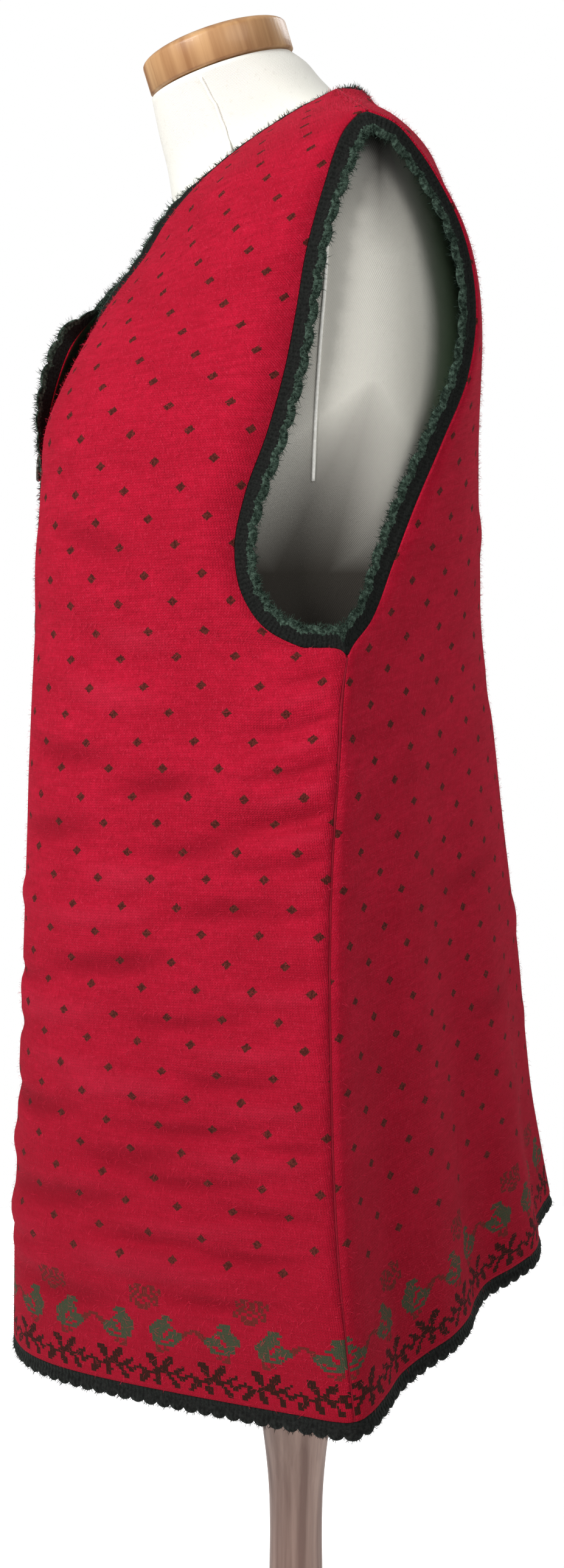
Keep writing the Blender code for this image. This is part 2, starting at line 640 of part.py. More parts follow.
def build_stand(collection, base_wood, pole_wood, cap_wood):
    base = ((BASE_THICK, BASE_RADIUS - 0.010), (BASE_THICK - 0.003, BASE_RADIUS - 0.003),
            (BASE_THICK - 0.010, BASE_RADIUS), (0.004, BASE_RADIUS), (0.0, BASE_RADIUS - 0.004))
    turned("base", base, base_wood, collection)
    turned("pole", POLE_PROFILE, pole_wood, collection, steps=24)
    rounding = [(CAP_SIDE + CAP_DOME, 0.40 * CAP_RADIUS), (CAP_SIDE + 0.86 * CAP_DOME, 0.68 * CAP_RADIUS),
                (CAP_SIDE + 0.55 * CAP_DOME, 0.88 * CAP_RADIUS), (CAP_SIDE + 0.2 * CAP_DOME, 0.97 * CAP_RADIUS),
                (CAP_SIDE - 0.001, CAP_RADIUS), (0.0, CAP_RADIUS)]
    cap = turned("neck_cap", rounding, cap_wood, collection)
    cap.location = CAP_CENTRE
    cap.rotation_euler = (math.radians(CAP_TILT), 0.0, 0.0)
    lifted = Vector((0.0, -math.sin(math.radians(CAP_TILT)), math.cos(math.radians(CAP_TILT))))
    cap.location = Vector(CAP_CENTRE) + lifted * 0.0005


def button_object(name, centre, normal, material, collection):
    """A plain round button with a sunk middle."""
    profile = ((0.6 * BUTTON_THICK, 0.50 * BUTTON_RADIUS), (BUTTON_THICK, 0.72 * BUTTON_RADIUS),
               (0.9 * BUTTON_THICK, 0.92 * BUTTON_RADIUS), (0.5 * BUTTON_THICK, BUTTON_RADIUS),
               (0.0, 0.80 * BUTTON_RADIUS))
    thing = turned(name, profile, material, collection, steps=10)
    thing.location = centre
    thing.rotation_euler = Vector(normal).to_track_quat("Z", "Y").to_euler()
    return thing


def hug_front_yoke(point):
    """How closely the front follows the form, by height."""
    height = smooth_step(0.880, 0.930, point[2]) * (1.0 - smooth_step(0.945, 0.975, point[2]))
    return height * (1.0 - smooth_step(0.110, 0.150, point[0]))


def lap_lift(grid):
    normals = grid_normals(grid)
    out = grid.copy()
    for row in range(grid.shape[0]):
        for column in range(grid.shape[1]):
            x, _, z = grid[row, column]
            over = (1.0 - smooth_step(0.024, 0.052, x)) * (1.0 - smooth_step(0.915, 0.950, z))
            corner = math.hypot(x + 0.006, 1.1 * (z - FLAP_HEIGHT))
            flap = FLAP_LIFT * (1.0 - smooth_step(0.0, 0.060, corner))
            out[row, column] += normals[row, column] * (OVERLAP_LIFT * over + flap)
    return out


def surface_at(grid, x, z):
    """Point and outward normal of the wearer's right front at a given x and height."""
    def depth_at(across, height):
        line = np.array([[np.interp(-across, -row[:, 0], row[:, axis]) for axis in (1, 2)] for row in grid])
        return float(np.interp(height, line[:, 1], line[:, 0]))

    reach = BUTTON_RADIUS
    slope_x = (depth_at(x + reach, z) - depth_at(x - reach, z)) / (2.0 * reach)
    slope_z = (depth_at(x, z + reach) - depth_at(x, z - reach)) / (2.0 * reach)
    normal = np.array((slope_x, -1.0, slope_z))
    return np.array((x, depth_at(x, z), z)), normal / np.linalg.norm(normal)


def edge_bends(path, rule):
    return np.array([rule(point) for point in path])


def arm_bend(point):
    """The armhole trim's bend by its place round the armhole."""
    _, y, z = point
    top = smooth_step(0.945, 0.985, z)
    bottom = 1.0 - smooth_step(0.722, 0.760, z)
    back = smooth_step(0.005, 0.045, y) * (1.0 - top) * (1.0 - bottom)
    front = 1.0 - top - bottom - back
    return ARM_BEND_TOP * top + ARM_BEND_BOTTOM * bottom + ARM_BEND_BACK * back + ARM_BEND_FRONT * front


def flap_bend(point):
    z = point[2]
    rise = smooth_step(FLAP_CURL_START, FLAP_HEIGHT, z)
    return FLAP_CURL * rise * (1.0 - smooth_step(FLAP_HEIGHT, FLAP_HEIGHT + 0.018, z))


def build():
    clear_scene()
    collection = bpy.data.collections.new("cardigan_on_form")
    bpy.context.scene.collection.children.link(collection)
    red = make_material("knit_red", RED, 0.92)
    band_green = make_material("trim_black_green", BLACK_GREEN, 0.95)
    band_black = make_material("trim_black", BLACK, 0.95)
    cream = make_material("form_jersey", CREAM, 0.90)
    cap_wood = make_material("cap_wood", CAP_WOOD, 0.45)
    pole_wood = make_material("pole_wood", POLE_WOOD, 0.55)
    button_dark = make_material("button_dark", BUTTON_DARK, 0.45)

    _, tree = build_form(collection, cream)
    build_stand(collection, pole_wood, pole_wood, cap_wood)

    front_stations = row_stations(len(FRONT_ROWS) - 1)
    back_keys = key_grid(BACK_ROWS, BACK_COLUMNS) + [back_top_row(BACK_COLUMNS)]
    back_stations = row_stations(len(back_keys) - 1)
    seam_rows = 1 + sum(LOWER_STEPS)

    left = through_rows(key_grid(FRONT_ROWS, FRONT_COLUMNS, LEFT_EDGE_X), front_stations)
    left = flatten_middle(left, front_stations)
    right = through_rows(key_grid(FRONT_ROWS, FRONT_COLUMNS, RIGHT_EDGE_X), front_stations)
    right = flatten_middle(right, front_stations)
    back_half = through_rows(back_keys, back_stations)
    right_back = back_half.copy()
    round_side_seam(left, back_half, seam_rows)
    round_side_seam(right, right_back, seam_rows)

    left = lift_from_form(fold_front(left), tree, REST_GAP, hug_front_yoke)
    right = lift_from_form(fold_front(right), tree, REST_GAP, hug_front_yoke)
    right = lap_lift(right)
    back_half = lift_from_form(fold_back(back_half), tree, REST_GAP)
    shoulder_columns = FRONT_COLUMNS // 2
    neck_columns = BACK_COLUMNS - shoulder_columns
    back_half[-1, neck_columns:] = left[-1, ::2] + np.array((0.0, 1.3 * SEAM_GAP, 0.0))
    back_half = lift_from_form(back_half, tree, REST_GAP, held=(-1,))
    back = np.concatenate((mirror_x(back_half)[:, ::-1], back_half[:, 1:]), axis=1)

    shell_object("front_left", left, CLOTH, red, collection, flip=False)
    shell_object("front_right", mirror_x(right), CLOTH, red, collection, flip=True)
    shell_object("back", back, CLOTH, red, collection, flip=True)

    left_normals = grid_normals(left)
    right_normals = grid_normals(right)
    half_normals = grid_normals(back_half)

    # Armhole trims: up the front's outer edge and down the back's
    arm_path = np.concatenate((left[seam_rows - 1:, -1], back_half[seam_rows:-1, -1][::-1]))
    arm_path[0] = 0.5 * (arm_path[0] + back_half[seam_rows - 1, -1])
    arm_normals = np.concatenate((left_normals[seam_rows - 1:, -1], half_normals[seam_rows:-1, -1][::-1]))
    arm_normals[0] += half_normals[seam_rows - 1, -1]
    tip_row = len(left) - seam_rows
    arm_path[tip_row] = 0.5 * (arm_path[tip_row] + back_half[-1, -1])
    arm_normals /= np.linalg.norm(arm_normals, axis=1, keepdims=True)
    arm = trim_strip(arm_path, arm_normals, ARM_TRIM_WIDTH, True, np.append(edge_bends(arm_path, arm_bend),
                     arm_bend(arm_path[0])), tree)
    build_trim("armhole_trim_left", arm, True, True, band_green, collection)
    build_trim("armhole_trim_right", mirror_x(arm), True, False, band_green, collection)

    # Front trims: up the front edge and along the V to the neck point
    front_end = np.array((NECK_MITRE[0], -NECK_MITRE[1], NECK_MITRE[2]))
    for name, grid, normals, rule, flip in (("front_trim_left", left, left_normals, lambda point: 0.0, True),
                                            ("front_trim_right", right, right_normals, flap_bend, False)):
        down = grid[0, 0] - grid[1, 0]
        foot = grid[0, 0] + down / np.linalg.norm(down) * HEM_TRIM_WIDTH
        path = np.concatenate(([foot], grid[:, 0]))[::-1]
        facing = np.concatenate((normals[:1, 0], normals[:, 0]))[::-1]
        strip = trim_strip(path, facing, FRONT_TRIM_WIDTH, False, edge_bends(path, rule), tree, front_end)
        if name == "front_trim_right":
            strip = mirror_x(strip)
        build_trim(name, strip, False, flip, band_green, collection)

    # Back neck trim between the two neck points
    top = back[-1]
    top_normals = grid_normals(back)[-1]
    middle = BACK_COLUMNS
    span = slice(middle - neck_columns, middle + neck_columns + 1)
    right_end = np.array((-NECK_MITRE[0], NECK_MITRE[1], NECK_MITRE[2]))
    neck = trim_strip(top[span], top_normals[span], FRONT_TRIM_WIDTH, False, np.zeros(2 * neck_columns + 1), tree,
                      right_end, np.array(NECK_MITRE))
    build_trim("neck_trim", neck, False, True, band_green, collection)

    # Hem trim all round, from one front edge to the other
    hem_path = np.concatenate((left[0], back[0][::-1], mirror_x(right)[0][::-1]))
    mirrored = right_normals[0].copy()
    mirrored[:, 0] *= -1.0
    hem_normals = np.concatenate((left_normals[0], grid_normals(back)[0][::-1], mirrored[::-1]))
    hem = trim_strip(hem_path, hem_normals, HEM_TRIM_WIDTH, False, np.zeros(len(hem_path)))
    build_trim("hem_trim", hem, False, True, band_black, collection)

    # Buttons on the overlap
    over = mirror_x(right)
    for index, height in enumerate(BUTTON_HEIGHTS):
        spot, normal = surface_at(over, BUTTON_X, height)
        centre = spot + normal * (CLOTH + BUTTON_GAP)
        button_object("button_%d" % (index + 1), centre, normal, button_dark, collection)


build()
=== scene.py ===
# Sleeveless red knitted cardigan with black and green trims, on a limbless dress form.
# Metres, +Z up, the wearer's front faces -Y and the wearer's left is +X.
import math
import random

import bmesh
import bpy
import numpy as np
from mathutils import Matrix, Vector
from mathutils.bvhtree import BVHTree


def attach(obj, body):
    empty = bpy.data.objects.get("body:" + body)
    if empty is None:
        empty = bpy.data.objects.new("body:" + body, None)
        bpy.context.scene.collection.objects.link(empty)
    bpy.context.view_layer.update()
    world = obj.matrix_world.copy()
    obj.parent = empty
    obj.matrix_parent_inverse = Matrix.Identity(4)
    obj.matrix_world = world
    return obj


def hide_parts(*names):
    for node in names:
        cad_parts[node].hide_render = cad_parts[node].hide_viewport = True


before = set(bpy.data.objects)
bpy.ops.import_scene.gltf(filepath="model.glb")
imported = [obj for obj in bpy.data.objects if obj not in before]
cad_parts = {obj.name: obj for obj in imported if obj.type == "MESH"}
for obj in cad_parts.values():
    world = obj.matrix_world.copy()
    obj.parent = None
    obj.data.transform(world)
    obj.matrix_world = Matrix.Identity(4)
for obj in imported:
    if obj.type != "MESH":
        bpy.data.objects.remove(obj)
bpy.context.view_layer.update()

print("frame loaded,", len(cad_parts), "nodes")
root = "root"


# camera and light
camera = {
    "place": (1.1665, -0.0908, 0.80),  # about a metre from the form, at its left side
    "turn": 4.0,        # degrees off the X axis
    "pitch": 8.65,      # degrees down
    "sensor": 36.0,
    "lens": 36.0 * 3130 / 2576,  # focal length in pixels over the image height
}


def addCamera():
    data = bpy.data.cameras.new("photoCamera")
    data.sensor_fit = "VERTICAL"
    data.sensor_height = camera["sensor"]
    data.sensor_width = camera["sensor"]
    data.lens = camera["lens"]
    data.clip_start = 0.05
    thing = bpy.data.objects.new("photoCamera", data)
    turn, pitch = math.radians(camera["turn"]), math.radians(camera["pitch"])
    view = Vector((-math.cos(turn) * math.cos(pitch), math.sin(turn) * math.cos(pitch), -math.sin(pitch)))
    thing.location = camera["place"]
    thing.rotation_euler = view.to_track_quat("-Z", "Y").to_euler()
    bpy.context.scene.collection.objects.link(thing)
    bpy.context.scene.camera = thing


studio = {
    "backdrop": 1.0, "ambient": 0.31,   # what the camera sees and what lights the object
    "keyPlace": (1.15, -1.45, 1.75), "keySize": 0.9, "keyPower": 50.0,
    "fillPlace": (1.7, 0.95, 1.60), "fillSize": 1.2, "fillPower": 15.0,
    "backPlace": (-1.8, 1.6, 2.2), "backSize": 1.2, "backPower": 30.0,
    "aim": (0.0, 0.0, 0.75), "floorRadius": 0.95,
    "floorTone": (0.93, 0.93, 0.93, 1.0), "floorPatch": (0.88, 0.88, 0.88, 1.0), "floorGlow": 0.45,
}


class Wire:
    # a shader value that takes plain arithmetic: each sign adds one Math node
    def __init__(self, tree, socket):
        self.tree, self.socket = tree, socket

    def math(self, operation, *others):
        step = self.tree.nodes.new("ShaderNodeMath")
        step.operation = operation
        for value, socket in zip((self,) + others, step.inputs):
            feed(value, socket)
        return Wire(self.tree, step.outputs[0])

    def __add__(self, other):
        return self.math("ADD", other)

    def __sub__(self, other):
        return self.math("SUBTRACT", other)

    def __rsub__(self, other):
        return self.math("MULTIPLY", -1.0) + other

    def __mul__(self, other):
        return self.math("MULTIPLY", other)

    def __truediv__(self, other):
        return self.math("DIVIDE", other)

    def __pow__(self, other):
        return self.math("POWER", other)

    def __abs__(self):
        return self.math("ABSOLUTE")

    def spread(self, low, high):
        # low..high stretched to 0..1, and kept within it
        ramp = self.tree.nodes.new("ShaderNodeMapRange")
        ramp.inputs["From Min"].default_value = low
        ramp.inputs["From Max"].default_value = high
        feed(self, ramp.inputs["Value"])
        return Wire(self.tree, ramp.outputs[0])


def feed(value, socket):
    if isinstance(value, Wire):
        value.tree.links.new(value.socket, socket)
    else:
        socket.default_value = value


def addLights():
    world = bpy.data.worlds.new("studio")
    world.use_nodes = True
    sky = world.node_tree.nodes["Background"]
    sky.inputs["Color"].default_value = (1.0, 1.0, 1.0, 1.0)
    path = world.node_tree.nodes.new("ShaderNodeLightPath")
    seen = Wire(world.node_tree, path.outputs["Is Camera Ray"])
    feed(seen * (studio["backdrop"] - studio["ambient"]) + studio["ambient"], sky.inputs["Strength"])
    bpy.context.scene.world = world
    bpy.context.scene.view_settings.view_transform = "Standard"
    for name in ("key", "fill", "back"):
        data = bpy.data.lights.new(name + "Light", "AREA")
        data.size = studio[name + "Size"]
        data.energy = studio[name + "Power"]
        lamp = bpy.data.objects.new(name + "Light", data)
        lamp.location = studio[name + "Place"]
        way = Vector(studio["aim"]) - lamp.location
        lamp.rotation_euler = way.to_track_quat("-Z", "Y").to_euler()
        bpy.context.scene.collection.objects.link(lamp)


addCamera()
addLights()
print("camera and lights placed")


# small helpers for the materials
def shaderOf(material):
    return material.node_tree.nodes["Principled BSDF"]


def newMaterial(name, roughness, sheen=0.0, sheenTint=(1, 1, 1, 1), specular=0.3, coat=0.0):
    material = bpy.data.materials.new(name)
    material.use_nodes = True
    shader = shaderOf(material)
    for key, value in (("Roughness", roughness), ("Specular IOR Level", specular), ("Sheen Weight", sheen),
                       ("Sheen Tint", sheenTint), ("Coat Weight", coat)):
        shader.inputs[key].default_value = value
    return material, material.node_tree


def finished(material, tone, height=None, strength=0.0, distance=0.0):
    # connects the tone and the bump
    shader = shaderOf(material)
    feed(tone, shader.inputs["Base Color"])
    if height is not None:
        relief = material.node_tree.nodes.new("ShaderNodeBump")
        relief.inputs["Strength"].default_value = strength
        relief.inputs["Distance"].default_value = distance
        feed(height, relief.inputs["Height"])
        material.node_tree.links.new(relief.outputs[0], shader.inputs["Normal"])
    return material


def layered(tone, layers):
    # mixes each layer's tone over the ones before: where, how much of it, tone
    for share, weight, over in layers:
        mix = share.tree.nodes.new("ShaderNodeMix")
        mix.data_type = "RGBA"
        for index, value in ((0, share * weight), (6, tone), (7, over)):
            feed(value, mix.inputs[index])
        tone = Wire(share.tree, mix.outputs[2])
    return tone


def apart(tree, socket):
    split = tree.nodes.new("ShaderNodeSeparateXYZ")
    tree.links.new(socket, split.inputs[0])
    return [Wire(tree, part) for part in split.outputs]


def uvAxes(tree):
    layer = tree.nodes.new("ShaderNodeUVMap")
    layer.uv_map = "cut"
    return apart(tree, layer.outputs[0])[:2]


def attribute(tree, name):
    reader = tree.nodes.new("ShaderNodeAttribute")
    reader.attribute_name = name
    return Wire(tree, reader.outputs["Fac"])


def speckle(tree, scale, detail=3.0, stretch=(1, 1, 1), place=None):
    # noise over the object's own coordinates, or over three given values
    noise = tree.nodes.new("ShaderNodeTexNoise")
    noise.inputs["Scale"].default_value = scale
    noise.inputs["Detail"].default_value = detail
    if place is None:
        where = tree.nodes.new("ShaderNodeTexCoord").outputs["Object"]
    else:
        join = tree.nodes.new("ShaderNodeCombineXYZ")
        for value, socket in zip(place, join.inputs):
            feed(value, socket)
        where = join.outputs[0]
    scaled = tree.nodes.new("ShaderNodeVectorMath")
    scaled.operation = "MULTIPLY"
    scaled.inputs[1].default_value = stretch
    tree.links.new(where, scaled.inputs[0])
    tree.links.new(scaled.outputs[0], noise.inputs["Vector"])
    return Wire(tree, noise.outputs[0])


# the knit: stitch sizes, the dots' half-drop repeat and the yarns
knit = {
    "stitch": 0.0017, "row": 0.030 / 21, "dotAcross": 20, "dotUp": 21, "firstDot": 0.0735,
    "dotReach": 1.85, "dotPhase": (10, 0), "halfDrop": 10, "border": 42,
    "dotRagged": 1.7, "dotFoot": -2.5,      # both in stitches
    "red": (0.480, 0.0085, 0.033, 1.0), "deepRed": (0.270, 0.0040, 0.0145, 1.0),
    "lightRed": (0.60, 0.036, 0.080, 1.0), "shadeRed": (0.190, 0.0030, 0.0105, 1.0),
    "dot": (0.036, 0.011, 0.008, 1.0), "dotHeart": (0.085, 0.020, 0.014, 1.0),
    "hemShade": 0.62, "hemReach": 0.36, "hemFade": 1.4,   # painted shade: the knit is a little darker towards the hem
    "black": (0.010, 0.009, 0.005, 1.0), "green": (0.026, 0.056, 0.030, 1.0),
    "brown": (0.105, 0.018, 0.014, 1.0),
    "inside": (0.040, 0.085, 0.042, 1.0), "insideDark": (0.020, 0.045, 0.022, 1.0),
}


def dotMask(tree, u, v):
    # a lozenge a few stitches wide round each centre of a half-drop grid
    raised = v - knit["firstDot"]
    axes = ((u / knit["stitch"] - 0.5, knit["dotAcross"], knit["dotPhase"][0]),
            (raised / knit["row"] - 0.5, knit["dotUp"], knit["dotPhase"][1]))
    reaches = []
    for shift in (0, knit["halfDrop"]):
        off = [((value - float(start + shift)) / float(repeat) + 0.5).math("FRACT") - 0.5
               for value, repeat, start in axes]
        reaches.append(abs(off[0]) * float(knit["dotAcross"]) + abs(off[1]) * float(knit["dotUp"]))
    ragged = (speckle(tree, 1300.0, 2.0) - 0.5) * knit["dotRagged"]
    near = reaches[0].math("MINIMUM", reaches[1]) + ragged
    return near.math("LESS_THAN", knit["dotReach"]) * raised.math("GREATER_THAN", knit["dotFoot"] * knit["row"])


def stitchHeight(u, v):
    # little V stitches: two leaning legs in every column
    leg = abs((u / knit["stitch"]).math("FRACT") - 0.5)
    wave = ((v / knit["row"] + leg * 1.2) * (2.0 * math.pi)).math("SINE")
    return wave * 0.35 + (leg * (2.0 * math.pi)).math("SINE")


def knitMaterial():
    material, tree = newMaterial("redKnit", 0.95, 0.06, (1.0, 0.22, 0.30, 1.0), 0.05)
    u, v = uvAxes(tree)
    mottle = speckle(tree, 60.0, 4.0, place=(u, v * 6.0, u)).spread(0.36, 0.66)
    broad = speckle(tree, 16.0, 2.0, place=(u, v * 2.5, u)).spread(0.35, 0.65)
    grain = speckle(tree, 480.0, 3.0, (1, 1, 0.5)).spread(0.40, 0.64)
    stitches = stitchHeight(u, v)
    hairs = speckle(tree, 1500.0, 2.0, (1, 1, 0.4)).spread(0.58, 0.75)
    fold = attribute(tree, "fold")
    # painted shade, darker towards the hem
    low = v.spread(knit["hemReach"], 0.0) ** knit["hemFade"]
    heart = layered(knit["dot"], ((speckle(tree, 800.0, 1.0).spread(0.42, 0.58), 1.0, knit["dotHeart"]),))
    tone = layered(knit["red"], (
        (mottle, 0.45, knit["deepRed"]), (broad, 0.35, knit["deepRed"]), (grain, 0.32, knit["deepRed"]),
        # painted shade in the grooves between the stitches
        (stitches.spread(0.75, -0.05), 0.30, knit["deepRed"]), (hairs, 0.45, knit["lightRed"]),
        # painted shade in the fold troughs and painted highlight on the fold crests
        (fold.spread(0.1, 1.0), 0.62, knit["shadeRed"]), (fold.spread(-0.2, -1.0), 0.16, knit["lightRed"]),
        (low, knit["hemShade"], knit["shadeRed"]), (dotMask(tree, u, v), 0.93, heart)))
    chart = attribute(tree, "motif")
    thin = 0.95 - hairs * 0.35
    tone = layered(tone, [(chart.math("COMPARE", number, 0.3), thin, knit[yarn])
                          for number, yarn in ((1.0, "black"), (2.0, "green"), (3.0, "brown"))])
    return finished(material, tone, stitches + speckle(tree, 900.0, 2.0) * 1.3, 0.55, 0.0007)


def insideMaterial():
    # the wrong side of the jacquard, where the green yarn floats
    material, tree = newMaterial("greenInside", 0.95, 0.1, (0.5, 1.0, 0.6, 1.0), 0.08)
    u, v = uvAxes(tree)
    tone = layered(knit["inside"], (
        (speckle(tree, 40.0, 3.0).spread(0.35, 0.65), 1.0, knit["insideDark"]),
        (speckle(tree, 420.0, 1.0).math("GREATER_THAN", 0.68), 0.5, knit["deepRed"])))
    return finished(material, tone, stitchHeight(u, v) + speckle(tree, 700.0), 0.4, 0.0006)


seamTones = {"thread": (0.16, 0.005, 0.014, 1.0), "ridge": (0.30, 0.008, 0.022, 1.0)}


def seamMaterial():
    material, tree = newMaterial("seamRed", 0.95, 0.15, (1.0, 0.3, 0.35, 1.0), 0.1)
    patch = speckle(tree, 600.0, 2.0)
    tone = layered(seamTones["thread"], ((patch, 1.0, seamTones["ridge"]),))
    return finished(material, tone, patch, 0.5, 0.0005)


trimTones = {
    "black": (0.0060, 0.0062, 0.0058, 1.0), "blackWorn": (0.0150, 0.0155, 0.0145, 1.0),
    "green": (0.0090, 0.0160, 0.0115, 1.0), "tuft": (0.062, 0.098, 0.074, 1.0),
    "ribHighlight": (0.0110, 0.0125, 0.0110, 1.0), "rib": 0.0027,
    "split": 0.0074, "hemSplit": 0.0046, "ragged": 0.004,   # where the fuzzy edge starts across the band
}


def trimMaterial(name, edge, tips, split):
    # a black ribbed band up to the split, a fuzzy coloured edge past it
    material, tree = newMaterial(name, 0.95, 0.04, (0.6, 0.8, 0.7, 1.0), 0.06)
    u, v = uvAxes(tree)
    grit = speckle(tree, 900.0, 3.0)
    ribs = (u * (2.0 * math.pi / trimTones["rib"])).math("SINE")
    band = layered(trimTones["black"], ((grit.spread(0.4, 0.7), 1.0, trimTones["blackWorn"]),
                                        # painted highlight on the rib crests
                                        (ribs.spread(0.1, 1.0), 0.7, trimTones["ribHighlight"])))
    fluff = layered(edge, ((speckle(tree, 480.0, 3.0).spread(0.38, 0.66), 1.0, tips),))
    past = (v + (grit - 0.5) * trimTones["ragged"]).math("GREATER_THAN", split)
    return finished(material, layered(band, ((past, 1.0, fluff),)), ribs * 0.4 + grit * 1.6, 0.6, 0.0008)


def fuzzMaterial(name, dark, light):
    material, tree = newMaterial(name, 0.9, 0.05, (0.7, 0.9, 0.8, 1.0), 0.06)
    return finished(material, layered(dark, ((speckle(tree, 700.0, 2.0).spread(0.42, 0.72), 1.0, light),)))


jersey = {
    "cream": (0.80, 0.79, 0.73, 1.0), "shadow": (0.68, 0.66, 0.60, 1.0), "pill": (0.50, 0.48, 0.42, 1.0),
    "stitch": 0.0011,
    # the shade under the arm, inside the armhole
    "pit": (0.030, 0.024, 0.018, 1.0), "pitTop": 0.858, "pitFoot": 0.758, "floorTop": 0.812,
    "pitY": 0.027, "pitLean": 0.036, "pitNarrow": 0.004, "pitWide": 0.090,
    "sideX": (0.07, 0.11), "waistZ": (0.66, 0.70),
    # the shade at the top of the armhole
    "capShade": (0.016, 0.013, 0.010, 1.0), "capY": 0.030, "capReach": 0.025, "capZ": (0.922, 0.966),
    "capX": (0.138, 0.150),
    # the painted shade on the part that the armhole frames
    "sleeveShade": (0.52, 0.50, 0.445, 1.0), "sleeveX": (0.120, 0.150), "sleeveZ": (0.985, 0.955),
}


def jerseyMaterial():
    material, tree = newMaterial("creamJersey", 0.85, 0.15, (1.0, 0.98, 0.94, 1.0), 0.2)
    patch = speckle(tree, 9.0, 3.0).spread(0.35, 0.65)
    pill = speckle(tree, 330.0, 2.0).spread(0.60, 0.80)
    x, y, z = apart(tree, tree.nodes.new("ShaderNodeTexCoord").outputs["Object"])
    sleeveShadeShare = abs(x).spread(*jersey["sleeveX"]) * z.spread(*jersey["sleeveZ"])
    deep = z.spread(jersey["pitTop"], jersey["pitFoot"])
    centre = jersey["pitY"] - deep * jersey["pitLean"]
    off = abs(y - centre) / (deep * jersey["pitWide"] + jersey["pitNarrow"])
    pit = deep ** 0.55 * off.spread(1.0, 0.15) ** 0.9
    pit = pit.math("MAXIMUM", z.spread(jersey["floorTop"], jersey["pitFoot"]))
    pit = pit * (z.spread(*jersey["waistZ"]) * abs(x).spread(*jersey["sideX"]))
    off = abs(y - jersey["capY"]) / jersey["capReach"]
    cap = z.spread(*jersey["capZ"]) * off.spread(1.0, 0.0) * abs(x).spread(*jersey["capX"])
    tone = layered(jersey["cream"], (
        (patch, 0.5, jersey["shadow"]), (pill, 0.25, jersey["pill"]), (sleeveShadeShare, 0.80, jersey["sleeveShade"]),
        (pit, 0.97, jersey["pit"]), (cap, 0.9, jersey["capShade"])))
    u, v = uvAxes(tree)
    rows, ribs = ((value * (2.0 * math.pi / jersey["stitch"])).math("SINE") for value in (v, u))
    return finished(material, tone, rows * ribs + pill * 2.0, 0.3, 0.0004)


woods = {
    "cap": {"light": (0.56, 0.33, 0.155, 1.0), "dark": (0.30, 0.135, 0.050, 1.0), "stretch": (55, 55, 2)},
    "pole": {"light": (0.33, 0.225, 0.185, 1.0), "dark": (0.155, 0.092, 0.075, 1.0), "stretch": (70, 70, 3)},
}


def woodMaterial(name, tones, roughness):
    material, tree = newMaterial(name, roughness, specular=0.35, coat=0.08)
    grain = speckle(tree, 1.6, 5.0, tones["stretch"]).spread(0.36, 0.66)
    fine = speckle(tree, 6.0, 4.0, tones["stretch"])
    tone = layered(tones["light"], ((grain, 1.0, tones["dark"]), (fine.spread(0.5, 0.8), 0.4, tones["dark"])))
    feed(grain * 0.12 + (roughness - 0.05), shaderOf(material).inputs["Roughness"])
    return finished(material, tone, grain + fine, 0.25, 0.0006)


horn = {"dark": (0.014, 0.012, 0.010, 1.0), "light": (0.06, 0.045, 0.030, 1.0)}


def hornMaterial():
    material, tree = newMaterial("darkHorn", 0.35, specular=0.5, coat=0.2)
    cloud = speckle(tree, 160.0, 3.0).spread(0.35, 0.7)
    tone = layered(horn["dark"], ((cloud, 1.0, horn["light"]),))
    return finished(material, tone, speckle(tree, 1200.0), 0.15, 0.0002)


def floorMaterial():
    material, tree = newMaterial("paleFloor", 0.9, specular=0.1)
    shader = shaderOf(material)
    shader.inputs["Emission Color"].default_value = studio["floorTone"]
    shader.inputs["Emission Strength"].default_value = studio["floorGlow"]
    patch = speckle(tree, 2.0, 2.0)
    return finished(material, layered(studio["floorTone"], ((patch, 0.05, studio["floorPatch"]),)))


finish = {
    "knit": knitMaterial(), "inside": insideMaterial(), "seam": seamMaterial(),
    "trim": trimMaterial("blackGreenTrim", trimTones["green"], trimTones["tuft"], trimTones["split"]),
    "hem": trimMaterial("blackTrim", trimTones["black"], trimTones["blackWorn"], trimTones["hemSplit"]),
    "greenFuzz": fuzzMaterial("greenFuzz", trimTones["green"], trimTones["tuft"]),
    "redFuzz": fuzzMaterial("redFuzz", knit["red"], knit["lightRed"]),
    "creamThread": fuzzMaterial("creamThread", (0.80, 0.79, 0.73, 1.0), (0.93, 0.92, 0.87, 1.0)),
    "blackFuzz": fuzzMaterial("blackFuzz", trimTones["black"], trimTones["blackWorn"]),
    "jersey": jerseyMaterial(), "cap": woodMaterial("capWood", woods["cap"], 0.42),
    "pole": woodMaterial("poleWood", woods["pole"], 0.55), "horn": hornMaterial(), "floor": floorMaterial(),
}
print("materials made")


